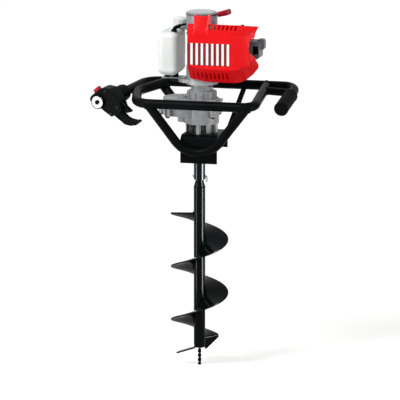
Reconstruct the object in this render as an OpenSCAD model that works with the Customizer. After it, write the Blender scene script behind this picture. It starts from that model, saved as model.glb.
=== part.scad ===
// Petrol earth auger: bit, gearbox, two-stroke engine, tube frame and handles.
// Millimetres, +Z up. The origin is the pilot tip's lowest point, on the bit's axis.

/* [Fits] */
// Radial clearance of a shaft that turns in its bearing or bush
run_fit = 0.05; // [0.02:0.01:0.1]
// Gap between pieces that are pressed, seated or welded together
seat_gap = 0.05; // [0.02:0.01:0.1]
// Gap between pieces that move past each other
move_gap = 0.6; // [0.4:0.1:1]

/* [Auger bit] */
// Outside diameter of the flight
flight_d = 150; // [120:1:170]
// Rise of the flight in one turn
flight_pitch = 139.6; // [120:0.1:150]
// Number of turns of the flight
flight_turns = 2.36; // [1.6:0.01:2.5]
// Thickness of the flight plate
flight_t = 4; // [3:0.5:6]
// Height of the flight's lower end above the tip
flight_bottom = 69; // [66:1:90]
// Direction in which the flight's lower end points
flight_end_angle = 63; // [40:1:90]
// Diameter of the bit's tube
stem_d = 30; // [25:0.5:32]
// Wall of the bit's tube
stem_wall = 3.5; // [2.5:0.5:5]
// Length of the bit's tube below its shoulder
stem_len = 422; // [410:1:460]
// Height of the shoulder cone
shoulder_h = 19; // [12:1:26]
// Diameter of the bit's shank and of the output shaft
shank_d = 20; // [18:0.5:22]
// Length of the shank above the shoulder
shank_len = 55; // [45:1:60]
// Length of the twisted pilot tip
pilot_len = 46; // [40:1:56]
// Width of the pilot tip's bar
pilot_w = 8.5; // [7:0.5:11]
// Thickness of the pilot tip's bar
pilot_t = 4.5; // [3.5:0.5:6]
// Thickness of the cutting blades
blade_t = 4; // [3:0.5:6]
// Reach of the lower cutting blade from the bit's axis
blade_reach = 58; // [45:1:70]

/* [Coupling] */
// Outside diameter of the coupling sleeve
sleeve_d = 30; // [27:0.5:34]
// Length of the coupling sleeve
sleeve_len = 118; // [110:1:130]
// Diameter of the cross pins
pin_d = 6; // [5:0.5:8]
// Height of the lower cross pin above the sleeve's end
pin_up = 8; // [6:0.5:14]

/* [Bracket] */
// Width of the sheet bracket
bracket_w = 97; // [92:1:110]
// Depth of the sheet bracket from flange to flange
bracket_depth = 120; // [114:1:130]
// Thickness of the bracket's sheet
bracket_t = 5; // [4:0.5:6]
// Drop of the front flange below the top plate
front_drop = 73; // [60:1:85]
// Drop of the rear flange below the top plate
rear_drop = 47; // [42:1:70]

/* [Frame tubes] */
// Diameter of the handlebar and the guard loop
tube_d = 25; // [22:0.5:28]
// Wall of the frame tubes
tube_wall = 2; // [1.5:0.5:3]
// Diameter of the struts
strut_d = 24; // [20:0.5:25]
// Diameter of the short brace beside the right grip
brace_d = 20; // [16:0.5:22]
// Distance of the back rail behind the bit's axis
rail_y = 139; // [130:1:150]
// Height of the back rail above the bracket
rail_up = 105; // [100:1:115]
// Distance of the front rail ahead of the bit's axis
front_rail_y = 76; // [74:1:82]
// Fall of the guard loop from the back rail to the front rail
loop_tilt = 6.25; // [5:0.25:8]
// Half of the distance between the tops of the front strut
strut_spread = 133.5; // [118:0.5:138]
// Slope of the front strut's legs
strut_slope = 52; // [48:0.1:54]
// Bend radius at the foot of the front strut
strut_bend = 75; // [60:1:85]

/* [Handles] */
// Reach of the right handle from the bit's axis
right_x = 225; // [215:1:235]
// Length of the right handle from the back rail
right_len = 172; // [165:1:185]
// Fall of the right handle
right_tilt = 10.2; // [8:0.1:12]
// Bend radius of the right handle
right_bend = 35; // [32:1:40]
// Diameter of the right grip
grip_d = 38; // [34:0.5:42]
// Length of the right grip
grip_len = 108; // [90:1:115]
// Thickness of the grip's closed end
grip_end = 5; // [3:0.5:8]
// Distance of the left handle's corner from the bit's axis
left_x = 172; // [166:1:178]
// Length of the left handle from its corner
left_len = 198; // [185:1:210]
// Fall of the left handle
left_tilt = 5; // [3:0.5:7]
// Turn of the left handle away from straight ahead
left_flare = 14.5; // [10:0.5:20]
// Bend radius of the left handle
left_bend = 45; // [38:1:50]

/* [Throttle handle] */
// Outside diameter of the sleeve on the bar
throttle_sleeve_d = 42; // [38:0.5:46]
// Length of the sleeve behind the head
throttle_sleeve_len = 50; // [40:1:54]
// Depth of the head's shell behind the bar's end
head_back = 16; // [14:0.5:20]
// Depth of the head's shell ahead of the bar's end
head_front = 13; // [12:0.5:16]
// Thickness of the head's cover
cover_t = 7; // [5:0.5:9]
// Wall of the head's shell
head_wall = 2.5; // [2:0.25:3]
// Thickness of the throttle trigger and the lock-out lever
lever_t = 14; // [10:0.5:18]
// Diameter of the lock button's white disc
button_d = 34; // [28:0.5:36]
// Travel of the lock button
button_travel = 3; // [2:0.25:4]

/* [Gearbox] */
// Pressure angle of the teeth
pressure_a = 25; // [24:0.5:26]
// Backlash between the teeth
backlash = 0.3; // [0.2:0.05:0.4]
// Face width of the gears
gear_w = 12; // [9:0.5:13]
// Wall of the gearbox casting
case_wall = 4; // [3.5:0.25:5]
// Radius of the gearbox's main body
case_r = 45; // [44:0.5:48]
// Diameter of the case bolts
bolt_d = 6; // [5:0.5:6]

/* [Engine] */
// Height of the cylinder's axis above the bracket
crank_up = 223; // [221:1:226]
// Bore of the cylinder
bore_d = 44; // [40:0.5:46]
// Stroke of the piston
stroke = 34; // [30:1:36]
// Length of the connecting rod between its pins
rod_len = 62; // [60:0.5:64]
// Number of cooling fins
fin_count = 9; // [6:1:10]
// Thickness of a cooling fin
fin_t = 2; // [1.5:0.25:2.5]
// Half width of the cooling fins
fin_half = 34; // [30:0.5:35]
// Radius of the crankcase
crankcase_r = 38; // [37:0.5:40]
// Radius of the crank webs
web_r = 29; // [26:0.5:30]
// Radius of the clutch drum
drum_r = 35; // [32:0.5:36]
// Radius of the flywheel
flywheel_r = 40; // [36:0.5:41]

/* [Shroud] */
// Thickness of the shroud
shroud_t = 2.5; // [2:0.25:3]
// Left edge of the shroud
shroud_x0 = -13; // [-16:0.5:-8]
// Length of the shroud's flat part
shroud_flat = 117; // [112:1:122]
// Length of the shroud's tapered end
shroud_taper = 64; // [58:1:70]
// Distance of the front face ahead of the bit's axis
shroud_front = 80; // [79:0.5:84]
// Number of slots in the front face
slot_count = 8; // [5:1:8]
// Spacing of the slots
slot_pitch = 13.8; // [12:0.1:14]
// Width of a slot
slot_w = 9; // [6:0.5:10]
// Height of a slot
slot_h = 58; // [45:1:60]
// Thickness of the heat shield
shield_t = 1.2; // [0.8:0.1:2]

/* [Starter] */
// Radius of the starter's drum
starter_r = 41; // [39:0.5:43]
// Wall of the starter's drum
starter_wall = 2.5; // [2:0.25:3]
// Length of the starter handle
pull_len = 30; // [26:1:36]
// Thickness of the starter handle
pull_t = 14; // [11:0.5:15]
// Diameter of the starter rope
rope_d = 4; // [3:0.25:4.5]
// Direction of the pull, seen from above
pull_dir = -5; // [-12:0.5:6]
// Rise of the pull
pull_rise = 16; // [8:0.5:18]

/* [Fuel tank] */
// Width of the tank
tank_w = 57; // [50:1:62]
// Depth of the tank
tank_depth = 100; // [90:1:110]
// Height of the tank
tank_h = 115; // [105:1:116]
// Wall of the tank
tank_wall = 2.5; // [2:0.25:3]
// Corner radius of the tank
tank_r = 18; // [14:1:20]
// Radius of the filler neck
neck_r = 13; // [12:0.5:14]
// Radius of the fuel cap
cap_r = 18; // [17:0.5:20]
// Height of the fuel cap
cap_h = 26; // [20:0.5:28]
// Diameter of the fuel hose
hose_d = 6; // [5:0.25:7]

/* [Hidden] */
$fn = 48;
eps = 0.01;

// Heights of the stack, from the tip upwards
stem_z = pilot_len;
shoulder_z = stem_z + stem_len;
shank_z = shoulder_z + shoulder_h;
sleeve_z = shank_z + 1;
sleeve_top = sleeve_z + sleeve_len;
bracket_z = sleeve_top + 6;
rail_z = bracket_z + rail_up;
crank_z = bracket_z + crank_up;

// Levels of the gearbox and the clutch above the bracket
case_floor = 3;
bearing_a = case_floor;
bearing_b = bearing_a + 18;
gear_low = 37;
case_split = 60;
gear_high = case_split + 8;
case_rise = 30;
tower_rise = 20;
neck_rise = 18;
clutch_rise = 46;
case_top = case_split + case_rise;
tower_top = case_top + tower_rise;
clutch_up = tower_top + neck_rise;
clutch_flange_h = 13;
clutch_top = clutch_up + clutch_rise;
drum_up = clutch_up + 8;
drum_h = 22;
crankcase_bottom = clutch_top + seat_gap;
crankcase_rise = 33;
crankcase_top = crank_up + crankcase_rise;
flywheel_gap = 2;
flywheel_h = 12;
flywheel_up = crankcase_top + flywheel_gap;
lay_boss_z = 28;

// Levels of the starter above the bracket
starter_flange = flywheel_up + flywheel_h + flywheel_gap;
starter_flange_t = 3;
starter_rise = 44;
starter_top = starter_flange + starter_rise;
rope_up = starter_top - 6.5;
reel_h = 12;
reel_low = starter_top - reel_h - 4;
spring_low = reel_low - 16;
spring_post = spring_low - 4;
spring_h = 11;

// Gear train: the engine's axis is to the right of the bit's, the layshaft's to the left
engine_x = 6;
bracket_x = 12;
gear_m = 1.5;
z_input = 12;
z_lay = 53;
z_small = 13;
z_output = 44;
r_input = gear_m * z_input / 2;
r_lay = gear_m * z_lay / 2;
r_small = gear_m * z_small / 2;
r_output = gear_m * z_output / 2;
lay_x = -(r_small + r_output);
addendum = 0.8 * gear_m;
dedendum = 1.1 * gear_m;
lay_cavity_r = r_lay + addendum + 8;
lobe_r = lay_cavity_r + case_wall;
lobe_z = 46;
input_r = 6;
lay_r = 4;

// Ball bearings as inner radius, outer radius and width
bearing_output = [shank_d / 2 + run_fit, 21, 12];
bearing_input = [input_r + run_fit, 14, 8];
bearing_lay = [lay_r + run_fit, 11, 7];
crank_r = 7.5;
bearing_crank = [crank_r + run_fit, 17.5, 11];

// Crank mechanism
throw = stroke / 2;
web_gap = 6;
web_t = 9;
crank_pin_r = 6.5;
wrist_pin_r = 5;
big_end_r = 12;
barrel_x0 = engine_x + 36;
wrist_x = engine_x + throw + rod_len;
crown = 16;
head_x = wrist_x + crown + 3;
head_end = head_x + 15;
barrel_wall = 5;
port_reach = fin_half + 6;
cylinder_bolt_x = 7;

// Shroud section heights, from the cylinder's axis, and where the shroud's end narrows
shroud_drop = 83;
shroud_rise = 71;
shroud_low = crank_up - shroud_drop;
shroud_high = crank_up + shroud_rise;
shroud_back = 62;
bevel_low = [32, 38];
bevel_high = [18, 13];
bevel_back = [8, 6];
top_slope = 11.2;
skirt_h = 34;
left_lift = 9;
ear_drop = 40;
ear_rise = 67;
ear_low = crank_up - ear_drop;
ear_high = crank_up + ear_rise;
ear_cut = 8;
notch_r = 28;
notch_up = crank_up + 16;
end_front = 62;
slot_drop = 6;
slot_up = crank_up - slot_drop;
slot_x = -2.7;
tower_w = 40;
tower_x = 2;
tower_side = 5;
tower_facet = [7, 4];
tower_lean = 12;
tower_top_up = starter_top;

// Tank
tank_x = -46;
cap_xy = [-60, 32];
grommet_xy = [-60, -30];
grommet_r = 6.5;
grommet_h = 9;
strap_t = 2.5;
buffer_h = 8;
strap_z = clutch_up + clutch_flange_h + seat_gap;
tank_z = strap_z + strap_t + buffer_h + 2 * seat_gap;

// Throttle head
trigger_pivot = [12, -22];
lockout_pivot = [21.5, -5];
pivot_r = 3.5;
button_at = [-27.7, -7.6];
switch_at = [-38, 15.4];
switch_angle = 40;
switch_size = [18, 9, 13];
switch_travel = 5;

// Outline of the throttle head, seen along the bar from its free end
head_outline = [
  [-54, -3], [-50, 5], [-26, 25], [-18, 29], [-10, 30.5], [5, 29], [20, 16], [34, -6], [40, -22],
  [34, -34], [9, -45], [-22, -25.5], [-44, -16], [-52, -10]
];
trigger_outline = [
  [8, -34], [13, -46], [41, -65], [58, -67], [74, -63.5], [86, -53.5], [82, -49.5], [74, -51], [57, -49],
  [47, -44], [36, -34], [22, -20], [12, -14], [4, -22]
];
lockout_outline = [
  [15.5, -5], [17, -10.5], [24, -14], [31, -21], [42, -31], [49, -33.5], [55, -31.5], [60, -30],
  [55, -25], [46, -18], [36, -12], [28, -4], [23, 0.5], [17, 0.5]
];

// Geometry helpers
function unit(v) = v / norm(v);

function inv_a(a) = tan(a) * 180 / PI - a;

function tooth_half(z, r) =
  let (rp = gear_m * z / 2, rb = rp * cos(pressure_a))
  90 / z - backlash / 4 / rp * 180 / PI + inv_a(pressure_a) - inv_a(acos(min(1, rb / r)));

function polar(r, a) = [r * cos(a), r * sin(a)];

// Outline of a spur gear with involute flanks
function gear_points(z) =
  let (
    rp = gear_m * z / 2,
    root = rp - dedendum,
    start = max(root + eps, rp * cos(pressure_a)),
    tip = rp + addendum,
    flank = [start, (start + rp) / 2, rp, tip]
  )
  [
    for (k = [0:z - 1])
      let (a = 360 * k / z)
      each concat(
        [polar(root, a - tooth_half(z, start))],
        [for (r = flank) polar(r, a - tooth_half(z, r))],
        [for (i = [3:-1:0]) polar(flank[i], a + tooth_half(z, flank[i]))],
        [polar(root, a + tooth_half(z, start))]
      )
  ];

module spur_gear(z, width, bore_r) {
  linear_extrude(width)
    difference() {
      polygon(gear_points(z));
      circle(bore_r);
    }
}

module ring(r_out, r_in, h) {
  difference() {
    cylinder(r = r_out, h = h);
    translate([0, 0, -1])
      cylinder(r = r_in, h = h + 2);
  }
}

// A straight round bar between two points
module bar_between(a, b, r) {
  v = b - a;
  translate(a)
    rotate([0, acos(v.z / norm(v)), atan2(v.y, v.x)])
      cylinder(r = r, h = norm(v));
}

module tube_profile(r, wall) {
  difference() {
    circle(r);
    if (wall > 0)
      circle(r - wall);
  }
}

// A tube that follows a flat path of points, with a bend of its own radius at each inner point
function turn_at(p, i) =
  let (u = unit(p[i] - p[i - 1]), v = unit(p[i + 1] - p[i]))
  atan2(u.x * v.y - u.y * v.x, u * v);

function setback(p, bends, i) =
  (i == 0 || i == len(p) - 1) ? 0 : bends[i - 1] * tan(abs(turn_at(p, i)) / 2);

// A slightly thicker collar joins each bend to its straights
collar_h = 4;
collar_lip = 0.15;
module along(p, u, shift) {
  translate([p.x, p.y, 0])
    rotate([0, 90, atan2(u.y, u.x)])
      translate([0, 0, shift])
        children();
}

module bent_tube(p, bends, r, wall) {
  for (i = [0:len(p) - 2]) {
    u = unit(p[i + 1] - p[i]);
    from = p[i] + u * setback(p, bends, i);
    to = p[i + 1] - u * setback(p, bends, i + 1);
    along(from, u, 0)
      linear_extrude(norm(to - from))
        tube_profile(r, wall);
  }
  for (i = [1:len(p) - 2]) {
    turn = turn_at(p, i);
    u = unit(p[i] - p[i - 1]);
    v = unit(p[i + 1] - p[i]);
    n = sign(turn) * [-u.y, u.x];
    from = p[i] - u * setback(p, bends, i);
    to = p[i] + v * setback(p, bends, i);
    centre = from + n * bends[i - 1];
    start = atan2(-n.y, -n.x);
    translate([centre.x, centre.y, 0])
      rotate(turn > 0 ? start : start + turn)
        rotate_extrude(angle = abs(turn))
          translate([bends[i - 1], 0])
            tube_profile(r, wall);
    for (end = [[from, u], [to, v]])
      along(end[0], end[1], -collar_h / 2)
        linear_extrude(collar_h)
          tube_profile(r + collar_lip, wall > 0 ? wall + 2 * collar_lip : 0);
  }
}

// Faces of a closed skin over rings of n points
function skin_sides(rings, n) = [
  for (i = [0:rings - 2], j = [0:n - 1])
    let (a = i * n + j, b = i * n + (j + 1) % n)
    each [[a, b, b + n], [a, b + n, a + n]]
];

function fan(first, n, flip) = [
  for (j = [1:n - 2])
    flip ? [first, first + j + 1, first + j] : [first, first + j, first + j + 1]
];

// Points of a round tube along a route
function ring_points(route, i, r, sides) =
  let (
    last = len(route) - 1,
    t = unit(route[min(i + 1, last)] - route[max(i - 1, 0)]),
    a = unit(cross(t, [0.6, -0.6, 0.5])),
    b = cross(t, a)
  )
  [for (k = [0:sides - 1]) route[i] + r * (cos(360 * k / sides) * a + sin(360 * k / sides) * b)];

module swept_tube(route, r, sides) {
  count = len(route);
  points = [for (i = [0:count - 1]) each ring_points(route, i, r, sides)];
  faces = concat(
    skin_sides(count, sides),
    fan(0, sides, true),
    fan((count - 1) * sides, sides, false)
  );
  polyhedron(points = points, faces = [for (f = faces) [f[2], f[1], f[0]]]);
}

// A box with round corners
module round_box(size, r) {
  hull()
    for (x = [r, size.x - r], y = [r, size.y - r], z = [r, size.z - r])
      translate([x, y, z])
        sphere(r, $fn = 24);
}

module rounded_rect(size, r) {
  translate([r, r])
    offset(r = r)
      square([size.x - 2 * r, size.y - 2 * r]);
}

// Auger bit
module bit_stem() {
  r = stem_d / 2;
  neck = shank_d / 2;
  lip = 6;
  color("#1c1e20")
    difference() {
      rotate_extrude()
        polygon([
          [r - stem_wall, stem_z], [r - 2, stem_z], [r, stem_z + 8], [r, shoulder_z],
          [neck, shank_z], [neck, shank_z + shank_len], [0, shank_z + shank_len],
          [0, shoulder_z - lip], [r - stem_wall, shoulder_z - lip]
        ]);
      cross_hole(sleeve_z + pin_up);
    }
}

module cross_hole(z) {
  translate([0, 0, z])
    rotate([0, 90, 0])
      cylinder(r = pin_d / 2 + seat_gap, h = sleeve_d + 10, center = true);
}

flight_steps = 6;
flight_top_angle = flight_end_angle + 360 * flight_turns;
flight_count = round(360 * flight_turns / flight_steps);

// The four corners of the flight's section at one angle
function flight_section(i) =
  let (
    a = flight_end_angle + (flight_top_angle - flight_end_angle) * i / flight_count,
    z = flight_bottom + flight_pitch * (a - flight_end_angle) / 360,
    r0 = stem_d / 2 + 2 * seat_gap,
    r1 = flight_d / 2
  )
  [
    concat(polar(r0, a), z - flight_t / 2), concat(polar(r1, a), z - flight_t / 2),
    concat(polar(r1, a), z + flight_t / 2), concat(polar(r0, a), z + flight_t / 2)
  ];

module bit_flight() {
  points = [for (i = [0:flight_count]) each flight_section(i)];
  faces = concat(
    skin_sides(flight_count + 1, 4),
    fan(0, 4, true),
    fan(flight_count * 4, 4, false)
  );
  color("#16191b")
    polyhedron(points = points, faces = faces);
}

// The upper blade carries on from the flight's lower end down to the stem's foot, and the lower one
// is a flat plate that slopes down and outwards on the other side.
blade_slope = 76;
blade_drop = 27;
low_blade_w = 26;
low_blade_fall = 18;
module cutter_blades() {
  r0 = stem_d / 2 + 2 * seat_gap;
  color("#202325") {
    translate([0, 0, flight_bottom - flight_t / 2])
      rotate([0, 0, flight_end_angle])
        rotate([180 + blade_slope, 0, 0])
          translate([0, seat_gap * 4, -blade_t / 2])
            linear_extrude(blade_t)
              polygon([
                [r0 + 1, 0], [flight_d / 2, 0], [flight_d / 2 - 3, 5],
                [r0 + 4, blade_drop / sin(blade_slope)], [r0 + 1, blade_drop / sin(blade_slope)]
              ]);
    difference() {
      translate([0, 0, stem_z + 3])
        rotate([0, -low_blade_fall, 0])
          translate([0, 0, -blade_t / 2])
            linear_extrude(blade_t)
              polygon([
                [0, -low_blade_w / 2], [0, low_blade_w / 2], [-blade_reach, low_blade_w / 2 - 4],
                [-blade_reach - 4, -low_blade_w / 2 + 2], [-blade_reach, -low_blade_w / 2]
              ]);
      translate([0, 0, stem_z - 20])
        cylinder(r = r0, h = 60);
    }
  }
}

pilot_turns = 2;
pilot_plug = 10;
module pilot_tip() {
  steps = 36;
  corners = [[-1, -1], [1, -1], [1, 1], [-1, 1]];
  points = [
    for (i = [0:steps], c = corners)
      let (
        a = 360 * pilot_turns * i / steps,
        x = c.x * pilot_w / 2,
        y = c.y * pilot_t / 2
      )
      [x * cos(a) - y * sin(a), x * sin(a) + y * cos(a), (stem_z + 1) * i / steps]
  ];
  faces = concat(skin_sides(steps + 1, 4), fan(0, 4, true), fan(steps * 4, 4, false));
  color("#2a2c2e") {
    polyhedron(points = points, faces = [for (f = faces) [f[2], f[1], f[0]]]);
    translate([0, 0, stem_z])
      cylinder(r = stem_d / 2 - stem_wall - seat_gap, h = pilot_plug);
  }
}

// Coupling
module coupling_sleeve() {
  color("#c9cbcc")
    difference() {
      translate([0, 0, sleeve_z])
        ring(sleeve_d / 2, shank_d / 2 + seat_gap, sleeve_len);
      cross_hole(sleeve_z + pin_up);
      cross_hole(sleeve_top - upper_pin_down);
    }
}

upper_pin_down = 16;
pin_over = 3;
module cross_pins() {
  color("#8f9294")
    for (z = [sleeve_z + pin_up, sleeve_top - upper_pin_down])
      translate([0, 0, z])
        rotate([0, 90, 0])
          cylinder(r = pin_d / 2, h = sleeve_d + 2 * pin_over, center = true);
}

ring_r = 7;
ring_wire = 1;
module pin_ring() {
  color("#d5d7d8")
    translate([sleeve_d / 2 + pin_over + ring_wire + seat_gap, 0, sleeve_z + pin_up - ring_r])
      rotate([0, 90, 0])
        rotate_extrude()
          translate([ring_r, 0])
            circle(ring_wire);
}

// Gear train
module at_input() {
  translate([engine_x, 0, bracket_z])
    children();
}

module at_output() {
  translate([0, 0, bracket_z])
    children();
}

module at_lay() {
  translate([lay_x, 0, bracket_z])
    children();
}

output_foot = sleeve_top - bracket_z - 46;
module output_shaft() {
  color("#a4a7a9")
    difference() {
      at_output()
        translate([0, 0, output_foot])
          cylinder(r = shank_d / 2, h = gear_low + gear_w + 4 - output_foot);
      cross_hole(sleeve_top - upper_pin_down);
    }
}

module output_gear() {
  color("#6f7275")
    at_output()
      translate([0, 0, gear_low])
        rotate(180 + 180 / z_output)
          spur_gear(z_output, gear_w, shank_d / 2 + seat_gap);
}

module layshaft() {
  low = lay_boss_z + 2;
  color("#85888b")
    at_lay() {
      translate([0, 0, low])
        cylinder(r = lay_r, h = case_top + 1.5 - low);
      translate([0, 0, gear_low - 0.5])
        linear_extrude(gear_w + 1)
          polygon(gear_points(z_small));
    }
}

module layshaft_gear() {
  color("#6a6d70")
    at_lay() {
      translate([0, 0, gear_high])
        spur_gear(z_lay, gear_w, lay_r + seat_gap);
    }
}

// The clutch drum carries the input pinion on the lower end of its shaft
module clutch_drum() {
  plate = 3;
  color("#75787b")
    at_input() {
      translate([0, 0, gear_high - 0.5])
        rotate(180 + 180 / z_input)
          linear_extrude(gear_w + 1)
            polygon(gear_points(z_input));
      translate([0, 0, gear_high])
        cylinder(r = input_r, h = drum_up + plate - gear_high);
      translate([0, 0, drum_up])
        cylinder(r = drum_r, h = plate);
      translate([0, 0, drum_up])
        ring(drum_r, drum_r - 2.5, drum_h);
    }
}

module bearing(b) {
  ring(b[1] - seat_gap, b[0], b[2]);
}

module ball_bearings() {
  color("#b4b7b9") {
    at_output() {
      translate([0, 0, bearing_a])
        bearing(bearing_output);
      translate([0, 0, bearing_b])
        bearing(bearing_output);
    }
    at_lay() {
      translate([0, 0, lay_boss_z + 1])
        bearing(bearing_lay);
      translate([0, 0, case_top - 5 + seat_gap])
        bearing(bearing_lay);
    }
    at_input() {
      translate([0, 0, case_top + 2])
        bearing(bearing_input);
      translate([0, 0, clutch_up - bearing_input[2] - 2])
        bearing(bearing_input);
      for (z = [crank_low_bearing, crank_high_bearing])
        translate([0, 0, z])
          bearing(bearing_crank);
    }
  }
}

// Gearbox
foot_r = 6.5;
foot_ring = 36;
seal_r = 15;
tower_r = 36;
neck_collar_r = 28;
boss_r = 8;
function boss_places() = concat(
  [for (a = [-42, 42]) [engine_x, 0] + polar(case_r + 6, a)],
  [for (a = [120, 180, 240]) [lay_x, 0] + polar(lobe_r + 6, a)]
);

module gearcase_lower() {
  body_low = 25;
  color("#a9acae")
    difference() {
      union() {
        at_output()
          cylinder(r = 28, h = body_low + 2);
        at_input()
          cylinder(r = 30, h = body_low + 2);
        at_input()
          for (a = [0:90:270])
            rotate(a)
              translate([foot_ring, 0, 0])
                cylinder(r = foot_r, h = body_low + 2);
        translate([0, 0, body_low]) {
          at_input()
            cylinder(r = case_r, h = case_split - body_low);
          at_output()
            cylinder(r = r_output + addendum + 2 + case_wall, h = case_split - body_low);
        }
        at_lay()
          translate([0, 0, lay_boss_z - 2])
            cylinder(r = bearing_lay[1] + case_wall, h = case_split - lay_boss_z + 2);
        at_lay()
          translate([0, 0, lobe_z])
            cylinder(r = lobe_r, h = case_split - lobe_z);
        for (p = boss_places())
          translate([p.x, p.y, bracket_z + lobe_z])
            cylinder(r = boss_r, h = case_split - lobe_z);
      }
      at_output() {
        translate([0, 0, -1])
          cylinder(r = seal_r, h = case_floor + 2);
        translate([0, 0, case_floor])
          cylinder(r = bearing_output[1], h = gear_low - case_floor);
        translate([0, 0, gear_low - 2])
          cylinder(r = r_output + addendum + 2, h = case_split);
      }
      at_lay() {
        translate([0, 0, lay_boss_z + 1])
          cylinder(r = bearing_lay[1], h = bearing_lay[2] + 1);
        translate([0, 0, lay_boss_z + 1 + bearing_lay[2]])
          cylinder(r = r_small + addendum + 2, h = case_split);
        translate([0, 0, lobe_z + case_wall])
          cylinder(r = lay_cavity_r, h = case_split);
      }
      for (p = boss_places())
        bolt_hole(p, lobe_z - 1, case_split + 2);
      for (p = foot_places())
        bolt_hole(p, -1, foot_bolt_in + 1);
    }
}

foot_bolt_in = 14;
function foot_places() = [for (a = [0:90:270]) [engine_x, 0] + polar(foot_ring, a)];

module bolt_hole(p, low, high) {
  translate([p.x, p.y, bracket_z + low])
    cylinder(r = bolt_d / 2 + seat_gap, h = high - low);
}

lug_reach = 54;
lug_w = 22;
module gearcase_upper() {
  low = case_split + seat_gap;
  plate = 5;
  color("#b1b4b6")
    difference() {
      union() {
        at_input() {
          translate([0, 0, low])
            cylinder(r = case_r, h = case_top - low);
          translate([0, 0, case_top - 1])
            cylinder(r = tower_r, h = tower_top - case_top + 1);
          translate([0, 0, tower_top - 1])
            cylinder(r = neck_collar_r, h = clutch_up - seat_gap - tower_top + 1);
          for (a = [15:30:345])
            rotate(a)
              translate([tower_r - 1, -2, case_top - 1])
                cube([4, 4, tower_top - case_top]);
          translate([0, -lug_w / 2, case_top - 7])
            cube([lug_reach, lug_w, 6]);
        }
        at_output()
          translate([0, 0, low])
            cylinder(r = r_output + addendum + 2 + case_wall, h = 10);
        at_lay() {
          translate([0, 0, low])
            cylinder(r = lobe_r, h = case_top - low);
          translate([0, 0, case_top - 1])
            cylinder(r = bearing_lay[1] + case_wall, h = 7);
        }
        for (p = boss_places())
          translate([p.x, p.y, bracket_z + low])
            cylinder(r = boss_r, h = bolt_in + 4);
      }
      at_input() {
        translate([0, 0, low - 1])
          cylinder(r = case_r - case_wall - 2, h = case_top - plate - low + 1);
        translate([0, 0, case_top - plate - 1])
          cylinder(r = 9, h = plate + 4);
        translate([0, 0, case_top + 2 - eps])
          cylinder(r = bearing_input[1], h = clutch_up);
        translate([lug_reach - 8, 0, case_top - 8])
          cylinder(r = bolt_d / 2 + 0.5, h = 10);
      }
      at_lay() {
        translate([0, 0, low - 1])
          cylinder(r = lay_cavity_r, h = case_top - plate - low + 1);
        translate([0, 0, case_top - plate - 1])
          cylinder(r = bearing_lay[1], h = bearing_lay[2] + 1.5);
      }
      at_output()
        translate([0, 0, low - 1])
          cylinder(r = r_output + addendum + 2, h = 9);
      for (p = boss_places())
        bolt_hole(p, low - 1, low + bolt_in);
    }
}

bolt_in = 12;
head_h = 4;
module hex_bolt(length) {
  translate([0, 0, -head_h])
    cylinder(r = bolt_d * 0.9, h = head_h, $fn = 6);
  translate([0, 0, -eps])
    cylinder(r = bolt_d / 2, h = length);
}

module case_bolts() {
  color("#8b8e90") {
    for (p = boss_places())
      translate([p.x, p.y, bracket_z + lobe_z - seat_gap])
        hex_bolt(case_split - lobe_z + bolt_in - 1);
    for (p = foot_places())
      translate([p.x, p.y, bracket_z - bracket_t - 2 * seat_gap])
        hex_bolt(bracket_t + foot_bolt_in - 1);
  }
}

// Bracket: top plate under the gearbox, with a flange bent down at the front and at the back
module engine_bracket() {
  half = bracket_depth / 2;
  color("#17181a")
    difference() {
      translate([bracket_x - bracket_w / 2, 0, bracket_z - seat_gap])
        rotate([90, 0, 90])
          linear_extrude(bracket_w)
            polygon([
              [-half, -front_drop], [-half, -15], [-half + 4, -5], [-half + 13, 0], [half - 5, 0],
              [half, -5], [half, -rear_drop], [half - bracket_t, -rear_drop], [half - bracket_t, -7],
              [half - 7, -bracket_t], [-half + 14, -bracket_t],
              [-half + 4 + bracket_t * 0.8, -5 - bracket_t * 0.7],
              [-half + bracket_t, -16], [-half + bracket_t, -front_drop]
            ]);
      at_output()
        translate([0, 0, -bracket_t - 2])
          cylinder(r = sleeve_d / 2 + 3, h = bracket_t + 4);
      for (p = foot_places())
        bolt_hole(p, -bracket_t - 1, 1);
    }
}

// Frame tubes
module at_rail(tilt) {
  translate([0, rail_y, rail_z])
    rotate([tilt, 0, 0])
      children();
}

// The left end is turned outwards and the right end points straight ahead
left_end = [-left_x - left_len * sin(left_flare), -left_len * cos(left_flare)];
module handlebar() {
  r = tube_d / 2;
  mid = 40;
  color("#141517") {
    at_rail(left_tilt)
      bent_tube([left_end, [-left_x, 0], [mid, 0]], [left_bend], r, tube_wall);
    at_rail(right_tilt)
      bent_tube([[mid, 0], [right_x, 0], [right_x, -right_len]], [right_bend], r, tube_wall);
    at_rail(0)
      along([mid, 0], [1, 0], -collar_h / 2)
        linear_extrude(collar_h)
          tube_profile(r + collar_lip, tube_wall + 2 * collar_lip);
  }
}

// Space that the handlebar takes up, for the ends of the tubes welded to it
module rail_space() {
  r = tube_d / 2 + seat_gap;
  at_rail(left_tilt)
    bent_tube([left_end, [-left_x, 0], [right_x - right_bend, 0]], [left_bend], r, 0);
}

module right_bar_space() {
  at_rail(right_tilt)
    translate([right_x, 0, 0])
      rotate([90, 0, 0])
        cylinder(r = tube_d / 2 + seat_gap, h = right_len);
}

front_run = (rail_y + front_rail_y) / cos(loop_tilt);
front_rail_z = rail_z - (rail_y + front_rail_y) * tan(loop_tilt);
loop_left = -118;
loop_bulge = [-176, -100];
loop_left_corner = -150;
loop_right_corner = 162;
loop_right = 145.5;
loop_bends = [60, 45, 30];
module loop_path(r, wall) {
  at_rail(loop_tilt)
    bent_tube(
      [
        [loop_left, 0], loop_bulge, [loop_left_corner, -front_run], [loop_right_corner, -front_run],
        [loop_right, 0]
      ],
      loop_bends, r, wall
    );
}

module guard_loop() {
  color("#191a1c")
    difference() {
      loop_path(tube_d / 2, tube_wall);
      rail_space();
    }
}

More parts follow.
